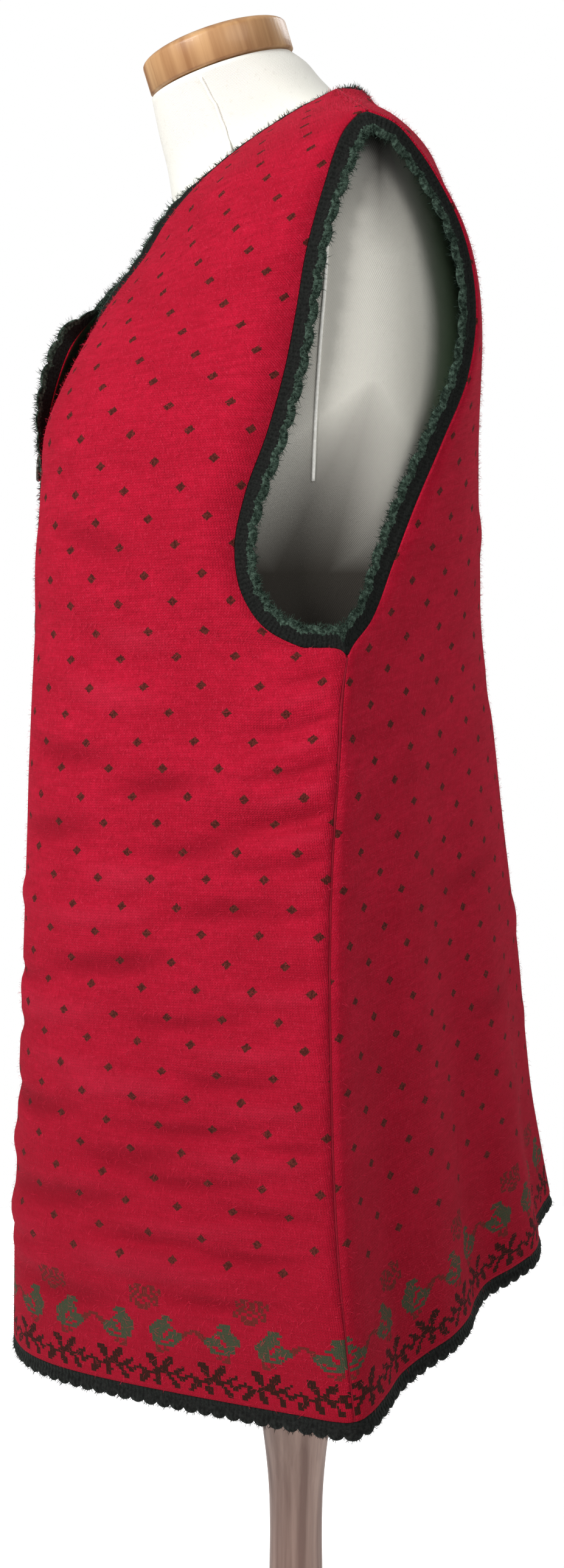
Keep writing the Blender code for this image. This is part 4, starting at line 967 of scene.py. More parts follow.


# creases: across from the reference line, height, slant, half-length, half-height, depth
creases = {
    "front": (
        (0.060, 0.235, 0.06, 0.060, 0.0055, -0.0026), (0.020, 0.208, -0.05, 0.070, 0.0060, 0.0021),
        (-0.040, 0.188, 0.10, 0.050, 0.0050, -0.0024), (0.075, 0.168, 0.02, 0.065, 0.0065, 0.0025),
        (0.000, 0.150, -0.04, 0.080, 0.0060, -0.0026), (0.085, 0.128, 0.08, 0.050, 0.0055, -0.0024),
        (-0.050, 0.118, 0.00, 0.055, 0.0060, 0.0024), (0.030, 0.100, 0.05, 0.075, 0.0065, -0.0028),
        (-0.010, 0.078, -0.06, 0.060, 0.0055, 0.0024), (0.090, 0.070, 0.03, 0.055, 0.0060, 0.0024),
        (-0.060, 0.056, 0.05, 0.045, 0.0055, -0.0020), (0.045, 0.045, -0.03, 0.065, 0.0060, -0.0022),
        (0.070, 0.285, -0.05, 0.045, 0.0060, 0.0020), (0.015, 0.310, 0.08, 0.050, 0.0065, -0.0018),
        (0.085, 0.335, 0.04, 0.040, 0.0055, -0.0020), (0.060, 0.415, -0.16, 0.035, 0.0060, 0.0018),
        (-0.070, 0.420, 0.12, 0.030, 0.0070, -0.0016), (0.030, 0.470, -0.30, 0.045, 0.0080, -0.0016),
        (0.050, 0.262, 0.04, 0.080, 0.0045, 0.0018), (-0.020, 0.222, 0.03, 0.065, 0.0040, -0.0016),
        (0.040, 0.180, -0.03, 0.055, 0.0038, 0.0017), (0.060, 0.112, 0.02, 0.050, 0.0040, 0.0016),
        (0.010, 0.060, 0.02, 0.060, 0.0042, 0.0016), (0.020, 0.352, -0.12, 0.060, 0.0060, -0.0018),
        (0.045, 0.385, -0.20, 0.055, 0.0065, 0.0018), (-0.030, 0.268, -0.04, 0.050, 0.0050, 0.0016),
        (0.150, 0.052, 0.03, 0.060, 0.0036, -0.0020), (0.120, 0.066, -0.02, 0.070, 0.0038, 0.0018),
        (0.165, 0.079, 0.02, 0.055, 0.0036, -0.0022), (0.130, 0.092, 0.04, 0.075, 0.0038, 0.0018),
        (0.175, 0.104, -0.03, 0.050, 0.0034, -0.0020), (0.125, 0.117, 0.02, 0.070, 0.0038, -0.0021),
        (0.160, 0.131, -0.02, 0.060, 0.0036, 0.0020), (0.120, 0.146, 0.03, 0.070, 0.0038, -0.0022),
        (0.170, 0.160, 0.02, 0.050, 0.0036, 0.0018), (0.135, 0.174, -0.03, 0.065, 0.0038, -0.0020),
        (0.155, 0.190, 0.02, 0.055, 0.0036, 0.0018), (0.110, 0.205, 0.04, 0.060, 0.0040, -0.0018),
        (0.165, 0.221, -0.02, 0.050, 0.0038, 0.0016), (0.100, 0.083, 0.01, 0.050, 0.0032, -0.0016),
        (0.190, 0.141, 0.03, 0.035, 0.0032, -0.0016), (0.095, 0.160, -0.02, 0.045, 0.0034, -0.0016),
        (0.110, 0.300, 0.20, 0.050, 0.0060, -0.0020), (0.130, 0.268, 0.12, 0.055, 0.0055, -0.0018),
    ),
    "back": (
        (0.060, 0.090, 0.05, 0.050, 0.0070, 0.0014), (-0.075, 0.140, -0.06, 0.055, 0.0070, -0.0014),
        (0.020, 0.190, 0.04, 0.060, 0.0075, 0.0014), (0.110, 0.240, -0.08, 0.050, 0.0070, -0.0014),
        (-0.120, 0.270, 0.06, 0.045, 0.0070, 0.0014), (0.000, 0.330, 0.03, 0.070, 0.0080, -0.0014),
        (-0.060, 0.355, -0.05, 0.050, 0.0070, 0.0014), (0.090, 0.370, 0.10, 0.045, 0.0065, 0.0014),
        (-0.100, 0.400, -0.04, 0.050, 0.0070, -0.0014), (0.050, 0.430, 0.02, 0.060, 0.0080, 0.0014),
        (-0.030, 0.120, 0.03, 0.060, 0.0060, 0.0014), (0.090, 0.160, -0.03, 0.050, 0.0060, -0.0014),
    ),
}
# fine ripples gathered at the side seam: height on the seam, sag towards the middle, reach, half-height, depth
ripples = {
    "front": (
        (0.398, 0.010, 0.060, 0.0026, -0.0013), (0.387, 0.012, 0.074, 0.0028, 0.0015),
        (0.375, 0.014, 0.086, 0.0026, -0.0017), (0.363, 0.015, 0.070, 0.0026, 0.0016),
        (0.351, 0.016, 0.094, 0.0028, -0.0019), (0.338, 0.017, 0.080, 0.0028, 0.0018),
        (0.325, 0.016, 0.100, 0.0030, -0.0019), (0.312, 0.014, 0.076, 0.0028, 0.0017),
        (0.299, 0.012, 0.090, 0.0030, -0.0018), (0.285, 0.010, 0.070, 0.0028, 0.0015),
        (0.270, 0.008, 0.080, 0.0030, -0.0014), (0.254, 0.006, 0.062, 0.0028, 0.0012),
        (0.236, 0.004, 0.060, 0.0040, -0.0010),
    ),
    "back": (
        (0.390, 0.010, 0.030, 0.0040, -0.0008), (0.372, 0.012, 0.036, 0.0042, 0.0009),
        (0.352, 0.012, 0.044, 0.0042, -0.0010), (0.330, 0.012, 0.040, 0.0042, 0.0010),
        (0.306, 0.010, 0.036, 0.0042, -0.0009),
    ),
}


creaseEase = {
    "tint": 0.0020,     # the depth at which a trough has its full painted shade and a crest its full painted highlight
    "seam": 0.006, "foot": 0.02, "sides": 4.0, "droop": 0.12,
}


def addCreases(grid, u, v, rows, small, edges):
    normals = gridNormals(grid)
    depth = np.zeros(u.shape)
    for edge in edges:
        inward = np.abs(u - u[:, edge][:, None])
        for height, sag, reach, halfHeight, size in small:
            run = np.clip(inward / reach, 0.0, 1.0)
            level = np.clip(np.abs(v - height + sag * np.sqrt(run)) / (2.0 * halfHeight), 0.0, 1.0)
            start = np.clip(inward / creaseEase["seam"], 0.0, 1.0)
            depth += size * start * (1.0 - run ** 2) ** 2 * (1.0 - level ** 2) ** 2
    for across, height, slant, halfLength, halfHeight, size in rows:
        run = u - across
        rise = v - height - slant * run - creaseEase["droop"] * run * run / halfLength
        near = np.clip(np.abs(run) / halfLength, 0.0, 1.0)
        level = np.clip(np.abs(rise) / (2.0 * halfHeight), 0.0, 1.0)
        depth += size * (1.0 - near ** 2) ** 2 * (1.0 - level ** 2) ** 2
    border = np.minimum(np.arange(u.shape[1]), np.arange(u.shape[1])[::-1]) / creaseEase["sides"]
    foot = np.clip(v / creaseEase["foot"], 0.0, 1.0)
    depth = depth * np.clip(border, 0.0, 1.0)[None, :] * foot
    # the second result marks troughs for painted shade and crests for painted highlight
    return grid + normals * depth[:, :, None], np.clip(-depth / creaseEase["tint"], -1.0, 1.0)


def clearOf(grid):
    # pushes points out of the form until they are clear of it
    out = grid.copy()
    for _ in range(3):
        moved = False
        for row, column in np.ndindex(out.shape[:2]):
            point = Vector(out[row, column])
            spot, normal, _, distance = fineTree.find_nearest(point, cloth["clearReach"])
            if spot is None:
                continue
            depth = cloth["clearGap"] - math.copysign(distance, (point - spot).dot(normal))
            if 0.0 < depth < cloth["clearReach"]:
                out[row, column] += np.array(normal) * depth
                moved = True
        if not moved:
            break
    return out


# border chart, one letter a stitch: k black, g green, b brown, a dot is the red ground
vineChart = (
    "..kkk......kk.......",
    "..kkkk....kkk.......",
    "...kkkk..kkkk.......",
    "....kkk..kkk....k...",
    ".....kk.kkk...kkk...",
    "k.....kkkkk..kkk....",
    "kkk..kkkkkkkkkkk..kk",
    ".kkkkkkk..kkk..kkkk.",
    ".kkk..kk....kk..kk..",
    "kkkk..kkk....kk.....",
    "kkk...kkk....kkk....",
    "kk.....kk.....kk....",
)
# left half of a pair of birds, tail at the left and breast at the middle
birdChart = (
    ".........gggg.......",
    "........ggggg.......",
    "..........gggg......",
    ".........gggggg.....",
    "bb......gggggggg....",
    ".bbb...g..ggggggg...",
    "..bbbggggg.gggggg...",
    "...bgggggg..ggggg...",
    "....ggggggg.gggg....",
    ".....gg..ggggggg....",
    "......ggg...gggg....",
    ".......ggggggg......",
    "..........b..b......",
    ".........bb.bb......",
    "...........bbb......",
)
# left half of the bush over the gap between two birds
bushChart = (
    "..bbb.",
    "b.bb.b",
    "bb.b.b",
    "b.bb.b",
    ".bb.bb",
    "bb.bb.",
    "b.b..b",
    "bb.bb.",
    "...bbb",
    "....bb",
)
chartRows = {"vine": 2, "birds": 15, "bush": 31, "pair": 40}
yarnNumber = {"k": 1.0, "g": 2.0, "b": 3.0}


def chartedYarn(u, v):
    # the yarn of one stitch of the border, by its place on the cloth
    column = math.floor(u / knit["stitch"])
    row = int(v / knit["row"])
    if 0 <= row - chartRows["vine"] < len(vineChart):
        line = vineChart[len(vineChart) - 1 - (row - chartRows["vine"])]
        return yarnNumber.get(line[column % len(line)], 0.0)
    inPair = column % chartRows["pair"]
    inHalf = min(inPair, chartRows["pair"] - 1 - inPair)
    if 0 <= row - chartRows["birds"] < len(birdChart):
        return yarnNumber.get(birdChart[len(birdChart) - 1 - (row - chartRows["birds"])][inHalf], 0.0)
    if 0 <= row - chartRows["bush"] < len(bushChart):
        line = bushChart[len(bushChart) - 1 - (row - chartRows["bush"])]
        inBush = inHalf - (chartRows["pair"] // 2 - len(line))
        return yarnNumber.get(line[inBush], 0.0) if inBush >= 0 else 0.0
    return 0.0


def ringFaces(rings, sides, closed=False):
    # faces between rings of points, with both ends filled unless the last ring meets the first
    faces = []
    for ring in range(rings if closed else rings - 1):
        low, high = ring * sides, (ring + 1) % rings * sides
        for side in range(sides):
            beside = (side + 1) % sides
            faces.append((low + side, low + beside, high + beside, high + side))
    if not closed:
        faces += [tuple(reversed(range(sides))), tuple(range((rings - 1) * sides, rings * sides))]
    return faces


def linkMesh(name, vertices, faces, materials, smooth=True):
    mesh = bpy.data.meshes.new(name)
    mesh.from_pydata([tuple(vertex) for vertex in vertices], [], faces)
    for material in materials:
        mesh.materials.append(material)
    mesh.polygons.foreach_set("use_smooth", [smooth] * len(mesh.polygons))
    mesh.update()
    thing = bpy.data.objects.new(name, mesh)
    bpy.context.scene.collection.objects.link(thing)
    return thing


def addUv(thing, u, v):
    layer = thing.data.uv_layers.new(name="cut")
    corner = np.empty(len(thing.data.loops), int)
    thing.data.loops.foreach_get("vertex_index", corner)
    layer.data.foreach_set("uv", np.stack((u[corner], v[corner]), 1).astype(np.float32).ravel())


def panelPiece(name, grid, u, v, fold, flip):
    # charted stitches up to the border's top, wider meshes above it
    step = cloth["finer"]
    top = knit["border"]
    rows, columns, _ = grid.shape
    vertices = np.concatenate((grid[:top + 1].reshape(-1, 3), grid[top + 1:, ::step].reshape(-1, 3)))
    wide = (columns - 1) // step + 1
    base = (top + 1) * columns
    uv = [np.concatenate((value[:top + 1].ravel(), value[top + 1:, ::step].ravel())) for value in (u, v, fold)]
    faces, motif = [], []
    for row in range(top):
        for column in range(columns - 1):
            low = row * columns + column
            faces.append((low, low + 1, low + columns + 1, low + columns))
            corners = (low, low + 1, low + columns + 1, low + columns)
            motif.append(chartedYarn(uv[0][list(corners)].mean(), uv[1][list(corners)].mean()))
    for column in range(wide - 1):
        foot = [top * columns + column * step + index for index in range(step + 1)]
        faces.append(tuple(foot + [base + column + 1, base + column]))
    for row in range(rows - top - 2):
        for column in range(wide - 1):
            low = base + row * wide + column
            faces.append((low, low + 1, low + wide + 1, low + wide))
    motif += [0.0] * (len(faces) - len(motif))
    if flip:
        faces = [tuple(reversed(face)) for face in faces]
    thing = linkMesh(name, vertices, faces, (finish["knit"], finish["inside"]))
    addUv(thing, uv[0], uv[1])
    # per point: painted shade in fold troughs, painted highlight on fold crests
    foldShadingLayer = thing.data.attributes.new("fold", "FLOAT", "POINT")
    foldShadingLayer.data.foreach_set("value", uv[2])
    chart = thing.data.attributes.new("motif", "FLOAT", "FACE")
    chart.data.foreach_set("value", motif)
    wall = thing.modifiers.new("wall", "SOLIDIFY")
    wall.thickness = cloth["fineWall"]
    wall.offset = 1.0
    wall.use_even_offset = False
    wall.material_offset = 1
    wall.material_offset_rim = 0
    return thing


fineGrids, folds = {}, {}
for name, cut, columns, reference, table, keep in (
        ("front_left", leftCut, cloth["fineColumns"], frontPanel["reference"], "front", ()),
        ("front_right", rightCut, cloth["fineColumns"], frontPanel["reference"], "front", ()),
        ("back", backCut, 2 * cloth["fineColumns"], 0.0, "back",
         (backPanel["columns"] - neckColumns, backPanel["columns"], backPanel["columns"] + neckColumns))):
    edges = (-1, 0) if name == "back" else (-1,)
    grid = easeUnderarm(refine(cut, columns, keep), edges)
    u, v = clothMeasure(grid, reference)
    grid, fold = addCreases(grid, u, v, creases[table], ripples[table], edges)
    fineGrids[name] = (clearOf(grid), u, v)
    folds[name] = fold
    print(name, "refined", grid.shape)

cardiganPieces = {}
for name, flip in (("front_left", False), ("front_right", True), ("back", True)):
    grid, u, v = fineGrids[name]
    shown = grid * mirror if name == "front_right" else grid
    cardiganPieces[name] = panelPiece("knit_" + name, shown, u, v, folds[name], flip)
print("knitted panels made")


def tube(points, radius, sides):
    # a round cord through the points, as vertices and faces
    points = np.array(points)
    forward = unit(np.gradient(points, axis=0))
    side = unit(np.cross(forward, np.array((0.3, 0.1, 0.9))))
    up = np.cross(side, forward)
    angles = np.arange(sides) * 2.0 * math.pi / sides
    rings = [points + radius * (math.cos(angle) * side + math.sin(angle) * up) for angle in angles]
    return np.stack(rings, 1).reshape(-1, 3), ringFaces(len(points), sides)


def joined(name, parts, materials):
    vertices, faces = [], []
    for points, shapes in parts:
        start = sum(len(block) for block in vertices)
        vertices.append(np.array(points))
        faces += [tuple(start + index for index in face) for face in shapes]
    return linkMesh(name, np.concatenate(vertices), faces, materials)


seamCord = {"side": 0.0010, "sideLift": 0.0004, "shoulder": 0.0007, "shoulderLift": 0.0010}


def seamPieces():
    parts = []
    left, back = fineGrids["front_left"][0], fineGrids["back"][0]
    side = []
    for row in range(left.shape[0]):
        if left[row, -1, 2] > underarm["height"]:
            break
        z = left[row, -1, 2]
        middle = 0.5 * (left[row, -1] + readAt([z], back[:, -1, 2], back[:, -1])[0])
        outward = middle - np.array((0.0, 0.005, middle[2]))
        side.append(middle + unit(outward) * seamCord["sideLift"])
    shoulder = left[-1, ::cloth["finer"]] + np.array((0.0, 0.0, seamCord["shoulderLift"]))
    for line, radius in ((np.array(side), seamCord["side"]), (shoulder, seamCord["shoulder"])):
        parts.append(tube(line, radius, 8))
        parts.append(tube(line * mirror, radius, 8))
    return joined("seams", parts, (finish["seam"],))


seams = seamPieces()
print("seams made")


trims = {
    "armWidth": 0.0112, "frontWidth": 0.0112, "hemWidth": 0.0095,
    "pitch": 0.0132, "hemPitch": 0.0090, "scallop": 0.0024, "thick": 0.0016,
    "shellFrom": 0.42, "groove": 0.0005, "grooveWide": 0.06,   # where the ribs end and the shells start
    "overlap": 0.0004,      # the trims are sewn on: they reach over the panels' edges
    "neckNarrow": 0.5, "narrowZ": (0.950, 1.000), "mitreReach": 0.030, "neckMitre": (-0.97, 0.06, 0.06),
    # bend away from the panel, in degrees, and where each bend sets in
    "bendFront": -2.0, "bendTop": -48.0, "bendBack": -38.0, "bendBottom": -14.0,
    "topZ": (0.945, 0.985), "bottomZ": (0.722, 0.760), "backY": (0.005, 0.045),
    "neckStand": 18.0, "neckFrom": (0.860, 0.885), "neckTo": (0.955, 0.980),
    "perScallop": 10, "across": 8,
}


def armBend(point):
    _, y, z = point
    top = smoothStep(*trims["topZ"], z)
    bottom = 1.0 - smoothStep(*trims["bottomZ"], z)
    back = smoothStep(*trims["backY"], y) * (1.0 - top) * (1.0 - bottom)
    shares = {"bendTop": top, "bendBottom": bottom, "bendBack": back, "bendFront": 1.0 - top - bottom - back}
    return sum(trims[name] * share for name, share in shares.items())


def flapBend(point):
    z = point[2]
    rise = smoothStep(closing["curlStart"], closing["flapHeight"], z)
    fall = smoothStep(closing["flapHeight"], closing["flapHeight"] + closing["curlEnd"], z)
    return closing["flapCurl"] * rise * (1.0 - fall)


def narrowNeck(z):
    # the trims draw in where they stand against the neck
    return 1.0 - trims["neckNarrow"] * smoothStep(*trims["narrowZ"], z)


def eased(values, times, closed):
    # evens out directions along a band
    for _ in range(times):
        if closed:
            values = np.roll(values, 1, axis=0) + 2.0 * values + np.roll(values, -1, axis=0)
        else:
            ends = np.concatenate((values[:1], values, values[-1:]))
            values = ends[:-2] + 2.0 * values + ends[2:]
        values = unit(values)
    return values


def bandShape(path, normals, width, closed, bends, lift=True, firstAcross=None, lastAcross=None):
    # a band beside a panel's edge: rows across it, stations along it
    points, normals, bends = np.array(path), np.array(normals), np.array(bends)
    if closed:
        points = np.concatenate((points, points[:1]))
        normals = np.concatenate((normals, normals[:1]))
        bends = np.append(bends, bends[0])
    along = runLengths(points)
    total = along[-1]
    scallops = max(1, round(total / (trims["pitch"] if lift else trims["hemPitch"])))
    stops = np.linspace(0.0, total, trims["perScallop"] * scallops + 1)
    if closed:
        stops = stops[:-1]
    where = resample(points, stops)
    facing = readAt(stops, along, normals)
    bend = np.radians(np.interp(stops, along, bends))

    if closed:
        forward = np.roll(where, -2, axis=0) - np.roll(where, 2, axis=0)
    else:
        forward = np.gradient(where, axis=0)
    forward = eased(forward, 6, closed)
    facing = eased(facing, 6, closed)
    across = eased(np.cross(forward, facing), 24 if closed else 8, closed)
    for wanted, distance in ((firstAcross, stops), (lastAcross, total - stops)):
        if wanted is not None:
            share = np.array([1.0 - smoothStep(0.0, trims["mitreReach"], value) for value in distance])[:, None]
            across = eased(across * (1.0 - share) + np.array(wanted) * share, 1, closed)
    facing = eased(np.cross(across, forward), 1, closed)
    lean = across * np.cos(bend)[:, None] + facing * np.sin(bend)[:, None]
    lean = eased(lean, 24 if closed else 4, closed)
    phase = stops / (total / scallops)
    reach = width - 0.6 * trims["scallop"] + trims["scallop"] * np.abs(np.sin(math.pi * phase)) ** 0.6
    if not closed and lift:
        reach = reach * np.array([narrowNeck(point[2]) for point in where])
    shares = np.linspace(0.0, 1.0, trims["across"] + 1)
    near = where - across * trims["overlap"]
    grid = near[None] + lean[None] * (reach[None, :] * shares[:, None])[:, :, None]
    if lift:
        for _ in range(5):
            push = np.zeros_like(near)
            for row in range(1, len(shares)):
                for index in range(len(stops)):
                    point = Vector(grid[row, index])
                    spot, normal, _, distance = fineTree.find_nearest(point, 0.03)
                    if spot is None:
                        continue
                    depth = cloth["restGap"] - math.copysign(distance, (point - spot).dot(normal))
                    wanted = depth / max(shares[row], 0.25)
                    if depth > 0.0 and wanted > np.linalg.norm(push[index]):
                        push[index] = np.array(normal) * wanted
            if not push.any():
                break
            for _ in range(2):
                spreadOut = np.concatenate((push[:1], push, push[-1:]))
                push = (spreadOut[:-2] + 2.0 * push + spreadOut[2:]) / 4.0
            grid += push[None] * np.minimum(shares / 0.999, 1.0)[:, None, None] * 1.15
    over = unit(np.cross(grid[-1] - grid[0], forward))
    over *= np.sign((over * facing).sum(axis=1, keepdims=True))
    return grid, eased(over, 3, closed), forward, stops, phase


def neckBend(point):
    # degrees by which the left front's trim stands up along the V neck
    rise, fall = smoothStep(*trims["neckFrom"], point[2]), smoothStep(*trims["neckTo"], point[2])
    return trims["neckStand"] * rise * (1.0 - fall)


def bandTop(grid, over, phase):
    # the band's upper side: ribs in the black part, puffed shells in the fuzzy part
    shares = np.linspace(0.0, 1.0, grid.shape[0])[:, None]
    puff = np.abs(np.sin(math.pi * phase))[None, :] ** 0.7
    shell = np.clip((shares - trims["shellFrom"]) / (1.0 - trims["shellFrom"]), 0.0, 1.0)
    rise = trims["thick"] * (0.85 + 0.40 * np.sin(math.pi * shell) * (0.7 + 0.4 * puff) - 0.45 * shell ** 4)
    rise = rise - trims["groove"] * np.exp(-((shares - trims["shellFrom"]) / trims["grooveWide"]) ** 2)
    rise = rise * (1.0 - 0.25 * (shares < 0.05))
    return grid + over[None] * rise[:, :, None]


def bandPiece(name, grid, top, stops, closed, mirrored, material):
    rows, count, _ = grid.shape
    ring = np.concatenate((grid, top[::-1]))
    size = 2 * rows
    vertices = np.swapaxes(ring, 0, 1).reshape(-1, 3)
    if mirrored:
        vertices = vertices * mirror
    thing = linkMesh(name, vertices, ringFaces(count, size, closed), (material,))
    width = np.concatenate((np.linspace(0, 1, rows), np.linspace(1, 0, rows))) * trims["armWidth"]
    addUv(thing, np.repeat(stops, size), np.tile(width, count))
    shell = bmesh.new()
    shell.from_mesh(thing.data)
    bmesh.ops.recalc_face_normals(shell, faces=shell.faces)
    shell.to_mesh(thing.data)
    shell.free()
    return thing


tufts = {"green": 74, "black": 26, "long": 0.0038, "short": 0.0014, "thick": 0.00016, "from": 0.60, "seed": 11}


def addStrand(vertices, faces, points):
    # a flat strand: a rectangle that ends in a point
    start = len(vertices)
    vertices += points
    faces += [(start, start + 1, start + 2, start + 3), (start + 3, start + 2, start + 4)]


def tuftPiece(name, bands, count, material, reach=1.0):
    # short wool ends that stand out from the scallops
    pick = random.Random(tufts["seed"])
    vertices, faces = [], []
    for grid, top, over, forward, phase, mirrored in bands:
        rows, stations, _ = grid.shape
        flipX = mirror if mirrored else np.ones(3)
        for _ in range(int(count * stations / trims["perScallop"])):
            station = pick.randrange(stations - 1)
            share = tufts["from"] + (1.0 - tufts["from"]) * pick.random() ** 0.6
            level = share * (rows - 1)
            low = min(int(level), rows - 2)
            upper = pick.random() < 0.72
            side = top if upper else grid
            foot = side[low, station] * (1.0 - level + low) + side[low + 1, station] * (level - low)
            foot = foot + forward[station] * (pick.random() - 0.5) * 0.0012
            lean = unit(grid[-1, station] - grid[0, station])
            fan = ((phase[station] % 1.0) - 0.5) * 1.6 + pick.uniform(-0.5, 0.5)
            stand = pick.uniform(0.15, 0.9) * (1.0 if upper else -0.5)
            way = lean * (0.35 + share * 0.6) + forward[station] * fan + over[station] * stand
            way = unit(way)
            length = pick.uniform(tufts["short"], tufts["long"]) * reach
            wide = unit(np.cross(way, over[station] + forward[station] * 0.3)) * tufts["thick"]
            droop = way * length * 0.55 + over[station] * pick.uniform(-0.3, 0.3) * length
            tip = droop + way * length * 0.5 + forward[station] * pick.uniform(-0.3, 0.3) * length
            offsets = (wide, -wide, droop - wide * 0.8, droop + wide * 0.8, tip)
            addStrand(vertices, faces, [(foot + offset) * flipX for offset in offsets])
    return linkMesh(name, vertices, faces, (material,), smooth=False)


def buildTrims():
    left, right, back = (fineGrids[name][0] for name in ("front_left", "front_right", "back"))
    step = cloth["finer"]
    normals = {name: gridNormals(fineGrids[name][0][:, ::step]) for name in fineGrids}
    made, fuzz = {}, {"green": [], "black": []}

    def addBands(sides, path, facing, width, closed, bends, lift=True, ends=(None, None)):
        # only the hem trim hangs free of the form, in black
        grid, over, forward, stops, phase = bandShape(path, facing, width, closed, bends, lift, *ends)
        top = bandTop(grid, over, phase)
        for name, mirrored in sides:
            made[name] = bandPiece("knit_" + name, grid, top, stops, closed, mirrored,
                                   finish["trim" if lift else "hem"])
            fuzz["green" if lift else "black"].append((grid, top, over, forward, phase, mirrored))

    under, backUnder = (int(np.argmax(grid[:, -1, 2] > underarm["height"])) for grid in (left, back))
    armPath = np.concatenate((left[under:, -1], back[backUnder:-1, -1][::-1]))
    armNormals = np.concatenate((normals["front_left"][under:, -1], normals["back"][backUnder:-1, -1][::-1]))
    along = runLengths(np.concatenate((armPath, armPath[:1])))
    known = (along[:-1] > underarm["turn"]) & (along[:-1] < along[-1] - underarm["turn"])
    armNormals = readAt(along[:-1], along[:-1][known], armNormals[known], period=along[-1])
    addBands((("armhole_trim_left", False), ("armhole_trim_right", True)), armPath, armNormals,
             trims["armWidth"], True, [armBend(point) for point in armPath])
    mitreX, mitreY, mitreZ = trims["neckMitre"]
    for side, panel, rule, mirrored in (("left", left, neckBend, False), ("right", right, flapBend, True)):
        down = panel[0, 0] - panel[3, 0]
        foot = panel[0, 0] + unit(down) * trims["hemWidth"]
        path = np.concatenate(([foot], panel[:, 0]))[::-1]
        face = normals["front_" + side][:, 0]
        addBands((("front_trim_" + side, mirrored),), path, np.concatenate((face[:1], face))[::-1],
                 trims["frontWidth"], False, [rule(point) for point in path],
                 ends=(np.array((mitreX, -mitreY, mitreZ)), None))
    line = back[-1]
    middle = line.shape[0] // 2
    reach = int(np.argmin(np.linalg.norm(line[middle:] - np.array(backPanel["neck"][-1]), axis=1)))
    span = slice(middle - reach, middle + reach + 1)
    neckNormals = np.repeat(normals["back"][-1], step, axis=0)[:line.shape[0]]
    addBands((("neck_trim", False),), line[span], neckNormals[span], trims["frontWidth"], False,
             np.zeros(2 * reach + 1), ends=(np.array((-mitreX, mitreY, mitreZ)), trims["neckMitre"]))
    hemPath = np.concatenate((left[0], back[0][::-1], right[0][::-1] * mirror))
    facing = np.concatenate((normals["front_left"][0], normals["back"][0][::-1],
                             normals["front_right"][0][::-1] * mirror))
    marks = np.concatenate((left[0, ::step], back[0, ::step][::-1], right[0, ::step][::-1] * mirror))
    ends = runLengths(marks) / runLengths(marks)[-1]
    places = runLengths(hemPath) / runLengths(hemPath)[-1]
    addBands((("hem_trim", False),), hemPath, readAt(places, ends, facing), trims["hemWidth"], False,
             np.zeros(len(hemPath)), False)
    return made, fuzz


halo = {"count": 12000, "long": 0.0060, "short": 0.0016, "thick": 0.000060, "seed": 5}


def haloPiece():
    # loose red wool ends all over the knit
    pick = random.Random(halo["seed"])
    vertices, faces = [], []
    for name, grids in fineGrids.items():
        grid = grids[0]
        normals = gridNormals(grid)
        flipX = mirror if name == "front_right" else np.ones(3)
        count = halo["count"] * (2 if name == "back" else 1)
        for _ in range(count):
            row = min(int(knit["border"] * pick.random() ** 4 + pick.random() * (grid.shape[0] - 2)),
                      grid.shape[0] - 2)
            column = pick.randrange(grid.shape[1] - 1)
            out = normals[row, column]
            run = unit(grid[row, column + 1] - grid[row, column])
            up = np.cross(out, run)
            foot = grid[row, column] + (grid[row + 1, column] - grid[row, column]) * pick.random()
            foot = foot + out * cloth["fineWall"]
            angle = pick.uniform(0.0, 2.0 * math.pi)
            along = run * math.cos(angle) + up * math.sin(angle)
            length = pick.uniform(halo["short"], halo["long"]) * (0.6 + 0.4 * pick.random())
            middle = foot + (out * 0.30 + along * 0.35) * length
            tip = middle + (out * pick.uniform(-0.05, 0.30) + along * 0.5) * length
            wide = np.cross(along, out) * halo["thick"]
            points = (foot + wide, foot - wide, middle - wide, middle + wide, tip)
            addStrand(vertices, faces, [point * flipX for point in points])
    return linkMesh("red_fuzz", vertices, faces, (finish["redFuzz"],), smooth=False)


redFuzz = haloPiece()
trimPieces, fuzzBands = buildTrims()
greenTufts = tuftPiece("green_tufts", fuzzBands["green"], tufts["green"], finish["greenFuzz"])
blackTufts = tuftPiece("black_tufts", fuzzBands["black"], tufts["black"], finish["blackFuzz"], 0.7)
print("trims made")


def formPiece():
    rows, columns, _ = shownForm.shape
    thing = linkMesh("jersey_form", shownForm.reshape(-1, 3), ringFaces(rows, columns), (finish["jersey"],))
    around = np.stack([runLengths(np.concatenate((ring, ring[:1])))[:-1] for ring in fineForm])
    rises = np.linalg.norm(np.diff(fineForm, axis=0, prepend=fineForm[:1]), axis=2).mean(1)
    height = np.repeat(rises.cumsum(), columns)
    addUv(thing, around.ravel(), height)
    return thing


# form seams, as points that are laid on its surface: x, y, z
formSeams = {
    "thick": 0.0010, "lift": 0.0004,
    "lines": (
        ((0.0445, -0.060, 1.032), (0.052, -0.052, 1.012), (0.062, -0.050, 0.985), (0.078, -0.060, 0.965),
         (0.092, -0.075, 0.935), (0.100, -0.100, 0.895)),
        ((0.157, 0.004, 0.955), (0.163, 0.002, 0.915), (0.163, -0.001, 0.875), (0.162, -0.003, 0.840),
         (0.161, -0.004, 0.806)),
    ),
}


def formSeamPiece():
    parts = []
    for line in formSeams["lines"]:
        fine = smoothLine(line, np.linspace(0.0, len(line) - 1, 70))
        laid = []
        for point in fine:
            spot, normal, _, _ = shownTree.find_nearest(Vector(point))
            laid.append(np.array(spot + normal * formSeams["lift"]))
        parts.append(tube(laid, formSeams["thick"], 6))
        parts.append(tube(np.array(laid) * mirror, formSeams["thick"], 6))
    return joined("form_seams", parts, (finish["creamThread"],))


form = formPiece()
formSeam = formSeamPiece()
print("form made")


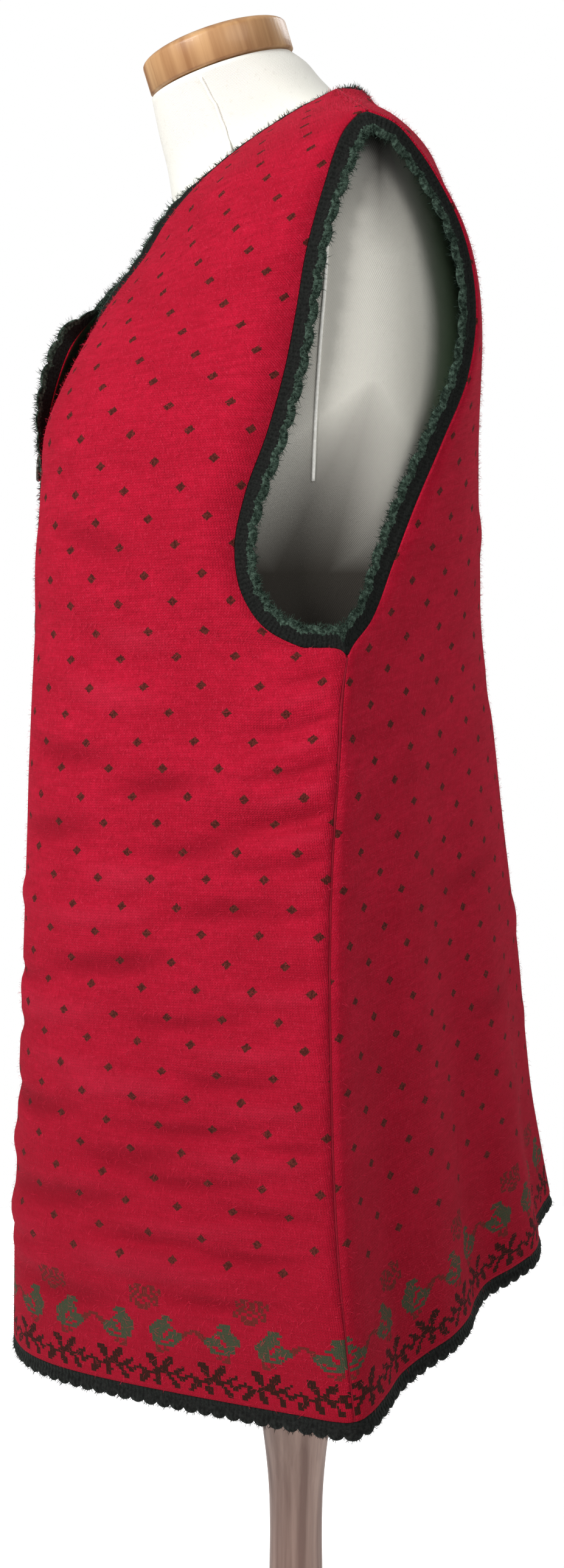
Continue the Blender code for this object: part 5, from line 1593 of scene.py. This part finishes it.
stand = {
    "steps": 96,
    # height and radius, from the top down
    "pole": ((0.3847, 0.050), (0.365, 0.052), (0.310, 0.0410), (0.255, 0.0310), (0.205, 0.0230),
             (0.160, 0.0182), (0.100, 0.0175), (0.052, 0.0198), (0.036, 0.0240), (0.0263, 0.0250)),
    "poleStations": 60,
    "baseRadius": 0.108, "baseThick": 0.026, "baseRounding": 0.008, "baseChamfer": 0.002,
    "capRadius": 0.0437, "capSide": 0.0155, "capDome": 0.0082, "capChamfer": 0.0012, "capLift": 0.0005,
    "capCentre": (0.0, -0.0440, 1.0430), "capTilt": 17.4,
}


def turnedPiece(name, profile, material, steps):
    # the profile runs down the outer side, from top to bottom
    mesh = bpy.data.meshes.new(name)
    points = [(0.0, 0.0, profile[0][0])] + [(radius, 0.0, height) for height, radius in profile]
    points.append((0.0, 0.0, profile[-1][0]))
    mesh.from_pydata(points, [(index, index + 1) for index in range(len(points) - 1)], [])
    mesh.materials.append(material)
    thing = bpy.data.objects.new(name, mesh)
    bpy.context.scene.collection.objects.link(thing)
    screw = thing.modifiers.new("turn", "SCREW")
    screw.axis = "Z"
    screw.steps = steps
    screw.render_steps = steps
    screw.use_merge_vertices = True
    screw.merge_threshold = 0.00001
    screw.use_smooth_shade = True
    return thing


def chamfered(radius, chamfer):
    return [(chamfer, radius), (0.0, radius - chamfer)]


poleProfile = smoothLine(stand["pole"], np.linspace(0.0, len(stand["pole"]) - 1, stand["poleStations"]))
pole = turnedPiece("turned_pole", [tuple(point) for point in poleProfile], finish["pole"], stand["steps"])
rounding = stand["baseRounding"]
baseProfile = [(stand["baseThick"] - rounding + rounding * math.sin(turn),
                stand["baseRadius"] - rounding + rounding * math.cos(turn))
               for turn in np.linspace(0.5 * math.pi, 0.0, 6)]
baseProfile += chamfered(stand["baseRadius"], stand["baseChamfer"])
base = turnedPiece("turned_base", baseProfile, finish["pole"], stand["steps"])
capProfile = [(stand["capSide"] + stand["capDome"] * math.cos(turn) ** 0.9, stand["capRadius"] * math.sin(turn))
              for turn in np.linspace(0.12, 1.0, 14) * 0.5 * math.pi]
capProfile += chamfered(stand["capRadius"], stand["capChamfer"])
cap = turnedPiece("turned_cap", capProfile, finish["cap"], stand["steps"])
tilt = math.radians(stand["capTilt"])
cap.rotation_euler = (tilt, 0.0, 0.0)
cap.location = Vector(stand["capCentre"]) + Vector((0.0, -math.sin(tilt), math.cos(tilt))) * stand["capLift"]
print("stand turned")


buttons = {
    "radius": 0.0080, "thick": 0.0028, "gap": 0.0006,
    "heights": (0.815, 0.724, 0.633, 0.542, 0.451, 0.360), "x": -0.0045,
    "holeRadius": 0.0009, "holeOut": 0.0019, "steps": 40,
}


def surfaceAt(grid, x, z):
    def depthAt(across, height):
        line = np.array([[np.interp(-across, -row[:, 0], row[:, axis]) for axis in (1, 2)] for row in grid])
        return float(np.interp(height, line[:, 1], line[:, 0]))

    reach = buttons["radius"]
    slopeX = (depthAt(x + reach, z) - depthAt(x - reach, z)) / (2.0 * reach)
    slopeZ = (depthAt(x, z + reach) - depthAt(x, z - reach)) / (2.0 * reach)
    normal = np.array((slopeX, -1.0, slopeZ))
    return np.array((x, depthAt(x, z), z)), unit(normal)


def buttonMesh():
    # a turned button with a rim, a sunk middle and four holes
    thick, radius = buttons["thick"], buttons["radius"]
    profile = [(0.55 * thick, 0.42 * radius), (0.60 * thick, 0.60 * radius), (0.86 * thick, 0.70 * radius),
               (thick, 0.78 * radius), (0.97 * thick, 0.90 * radius), (0.80 * thick, 0.97 * radius),
               (0.50 * thick, radius), (0.15 * thick, 0.93 * radius), (0.0, 0.80 * radius)]
    disc = turnedPiece("buttonBlank", profile, finish["horn"], buttons["steps"])
    bpy.ops.object.select_all(action="DESELECT")
    cutters = []
    for index in range(4):
        angle = math.pi * (0.25 + 0.5 * index)
        place = (buttons["holeOut"] * math.cos(angle), buttons["holeOut"] * math.sin(angle), 0.5 * thick)
        bpy.ops.mesh.primitive_cylinder_add(vertices=16, radius=buttons["holeRadius"], depth=3.0 * thick,
                                            location=place)
        cutters.append(bpy.context.object)
    for cutter in cutters:
        hole = disc.modifiers.new("hole", "BOOLEAN")
        hole.object = cutter
        hole.operation = "DIFFERENCE"
    bpy.context.view_layer.update()
    graph = bpy.context.evaluated_depsgraph_get()
    mesh = bpy.data.meshes.new_from_object(disc.evaluated_get(graph))
    for thing in cutters + [disc]:
        bpy.data.objects.remove(thing, do_unlink=True)
    return mesh


def buildButtons():
    mesh = buttonMesh()
    surface = rightCut * mirror
    pieces = []
    for index, height in enumerate(buttons["heights"]):
        spot, normal = surfaceAt(surface, buttons["x"], height)
        thing = bpy.data.objects.new("horn_button_%d" % (index + 1), mesh)
        thing.location = spot + normal * (cloth["wall"] + buttons["gap"])
        thing.rotation_euler = Vector(normal).to_track_quat("Z", "Y").to_euler()
        bpy.context.scene.collection.objects.link(thing)
        pieces.append(thing)
    return pieces


buttonPieces = buildButtons()
print("buttons made")


# bodies and replaced nodes
def takePlace(piece, slot, node=None):
    # pieces without a node are extra detail
    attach(piece, root)
    if node:
        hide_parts(node)


for name, piece in cardiganPieces.items():
    takePlace(piece, "knit_red", name)
for name, piece in trimPieces.items():
    takePlace(piece, "trim_black" if name == "hem_trim" else "trim_black_green", name)
for piece, slot in ((seams, "knit_red"), (redFuzz, "knit_red"), (greenTufts, "trim_black_green"),
                    (blackTufts, "trim_black"), (formSeam, "form_jersey")):
    takePlace(piece, slot)
for piece, node, slot in ((form, "form_body", "form_jersey"), (pole, "pole", "pole_wood"),
                          (base, "base", "pole_wood"), (cap, "neck_cap", "cap_wood")):
    takePlace(piece, slot, node)
for index, piece in enumerate(buttonPieces):
    takePlace(piece, "button_dark", "button_%d" % (index + 1))

bpy.ops.mesh.primitive_circle_add(vertices=128, radius=studio["floorRadius"], fill_type="NGON",
                                  location=(0.0, 0.0, -0.0005))
floor = bpy.context.object
floor.name = "floor"
floor.data.materials.append(finish["floor"])
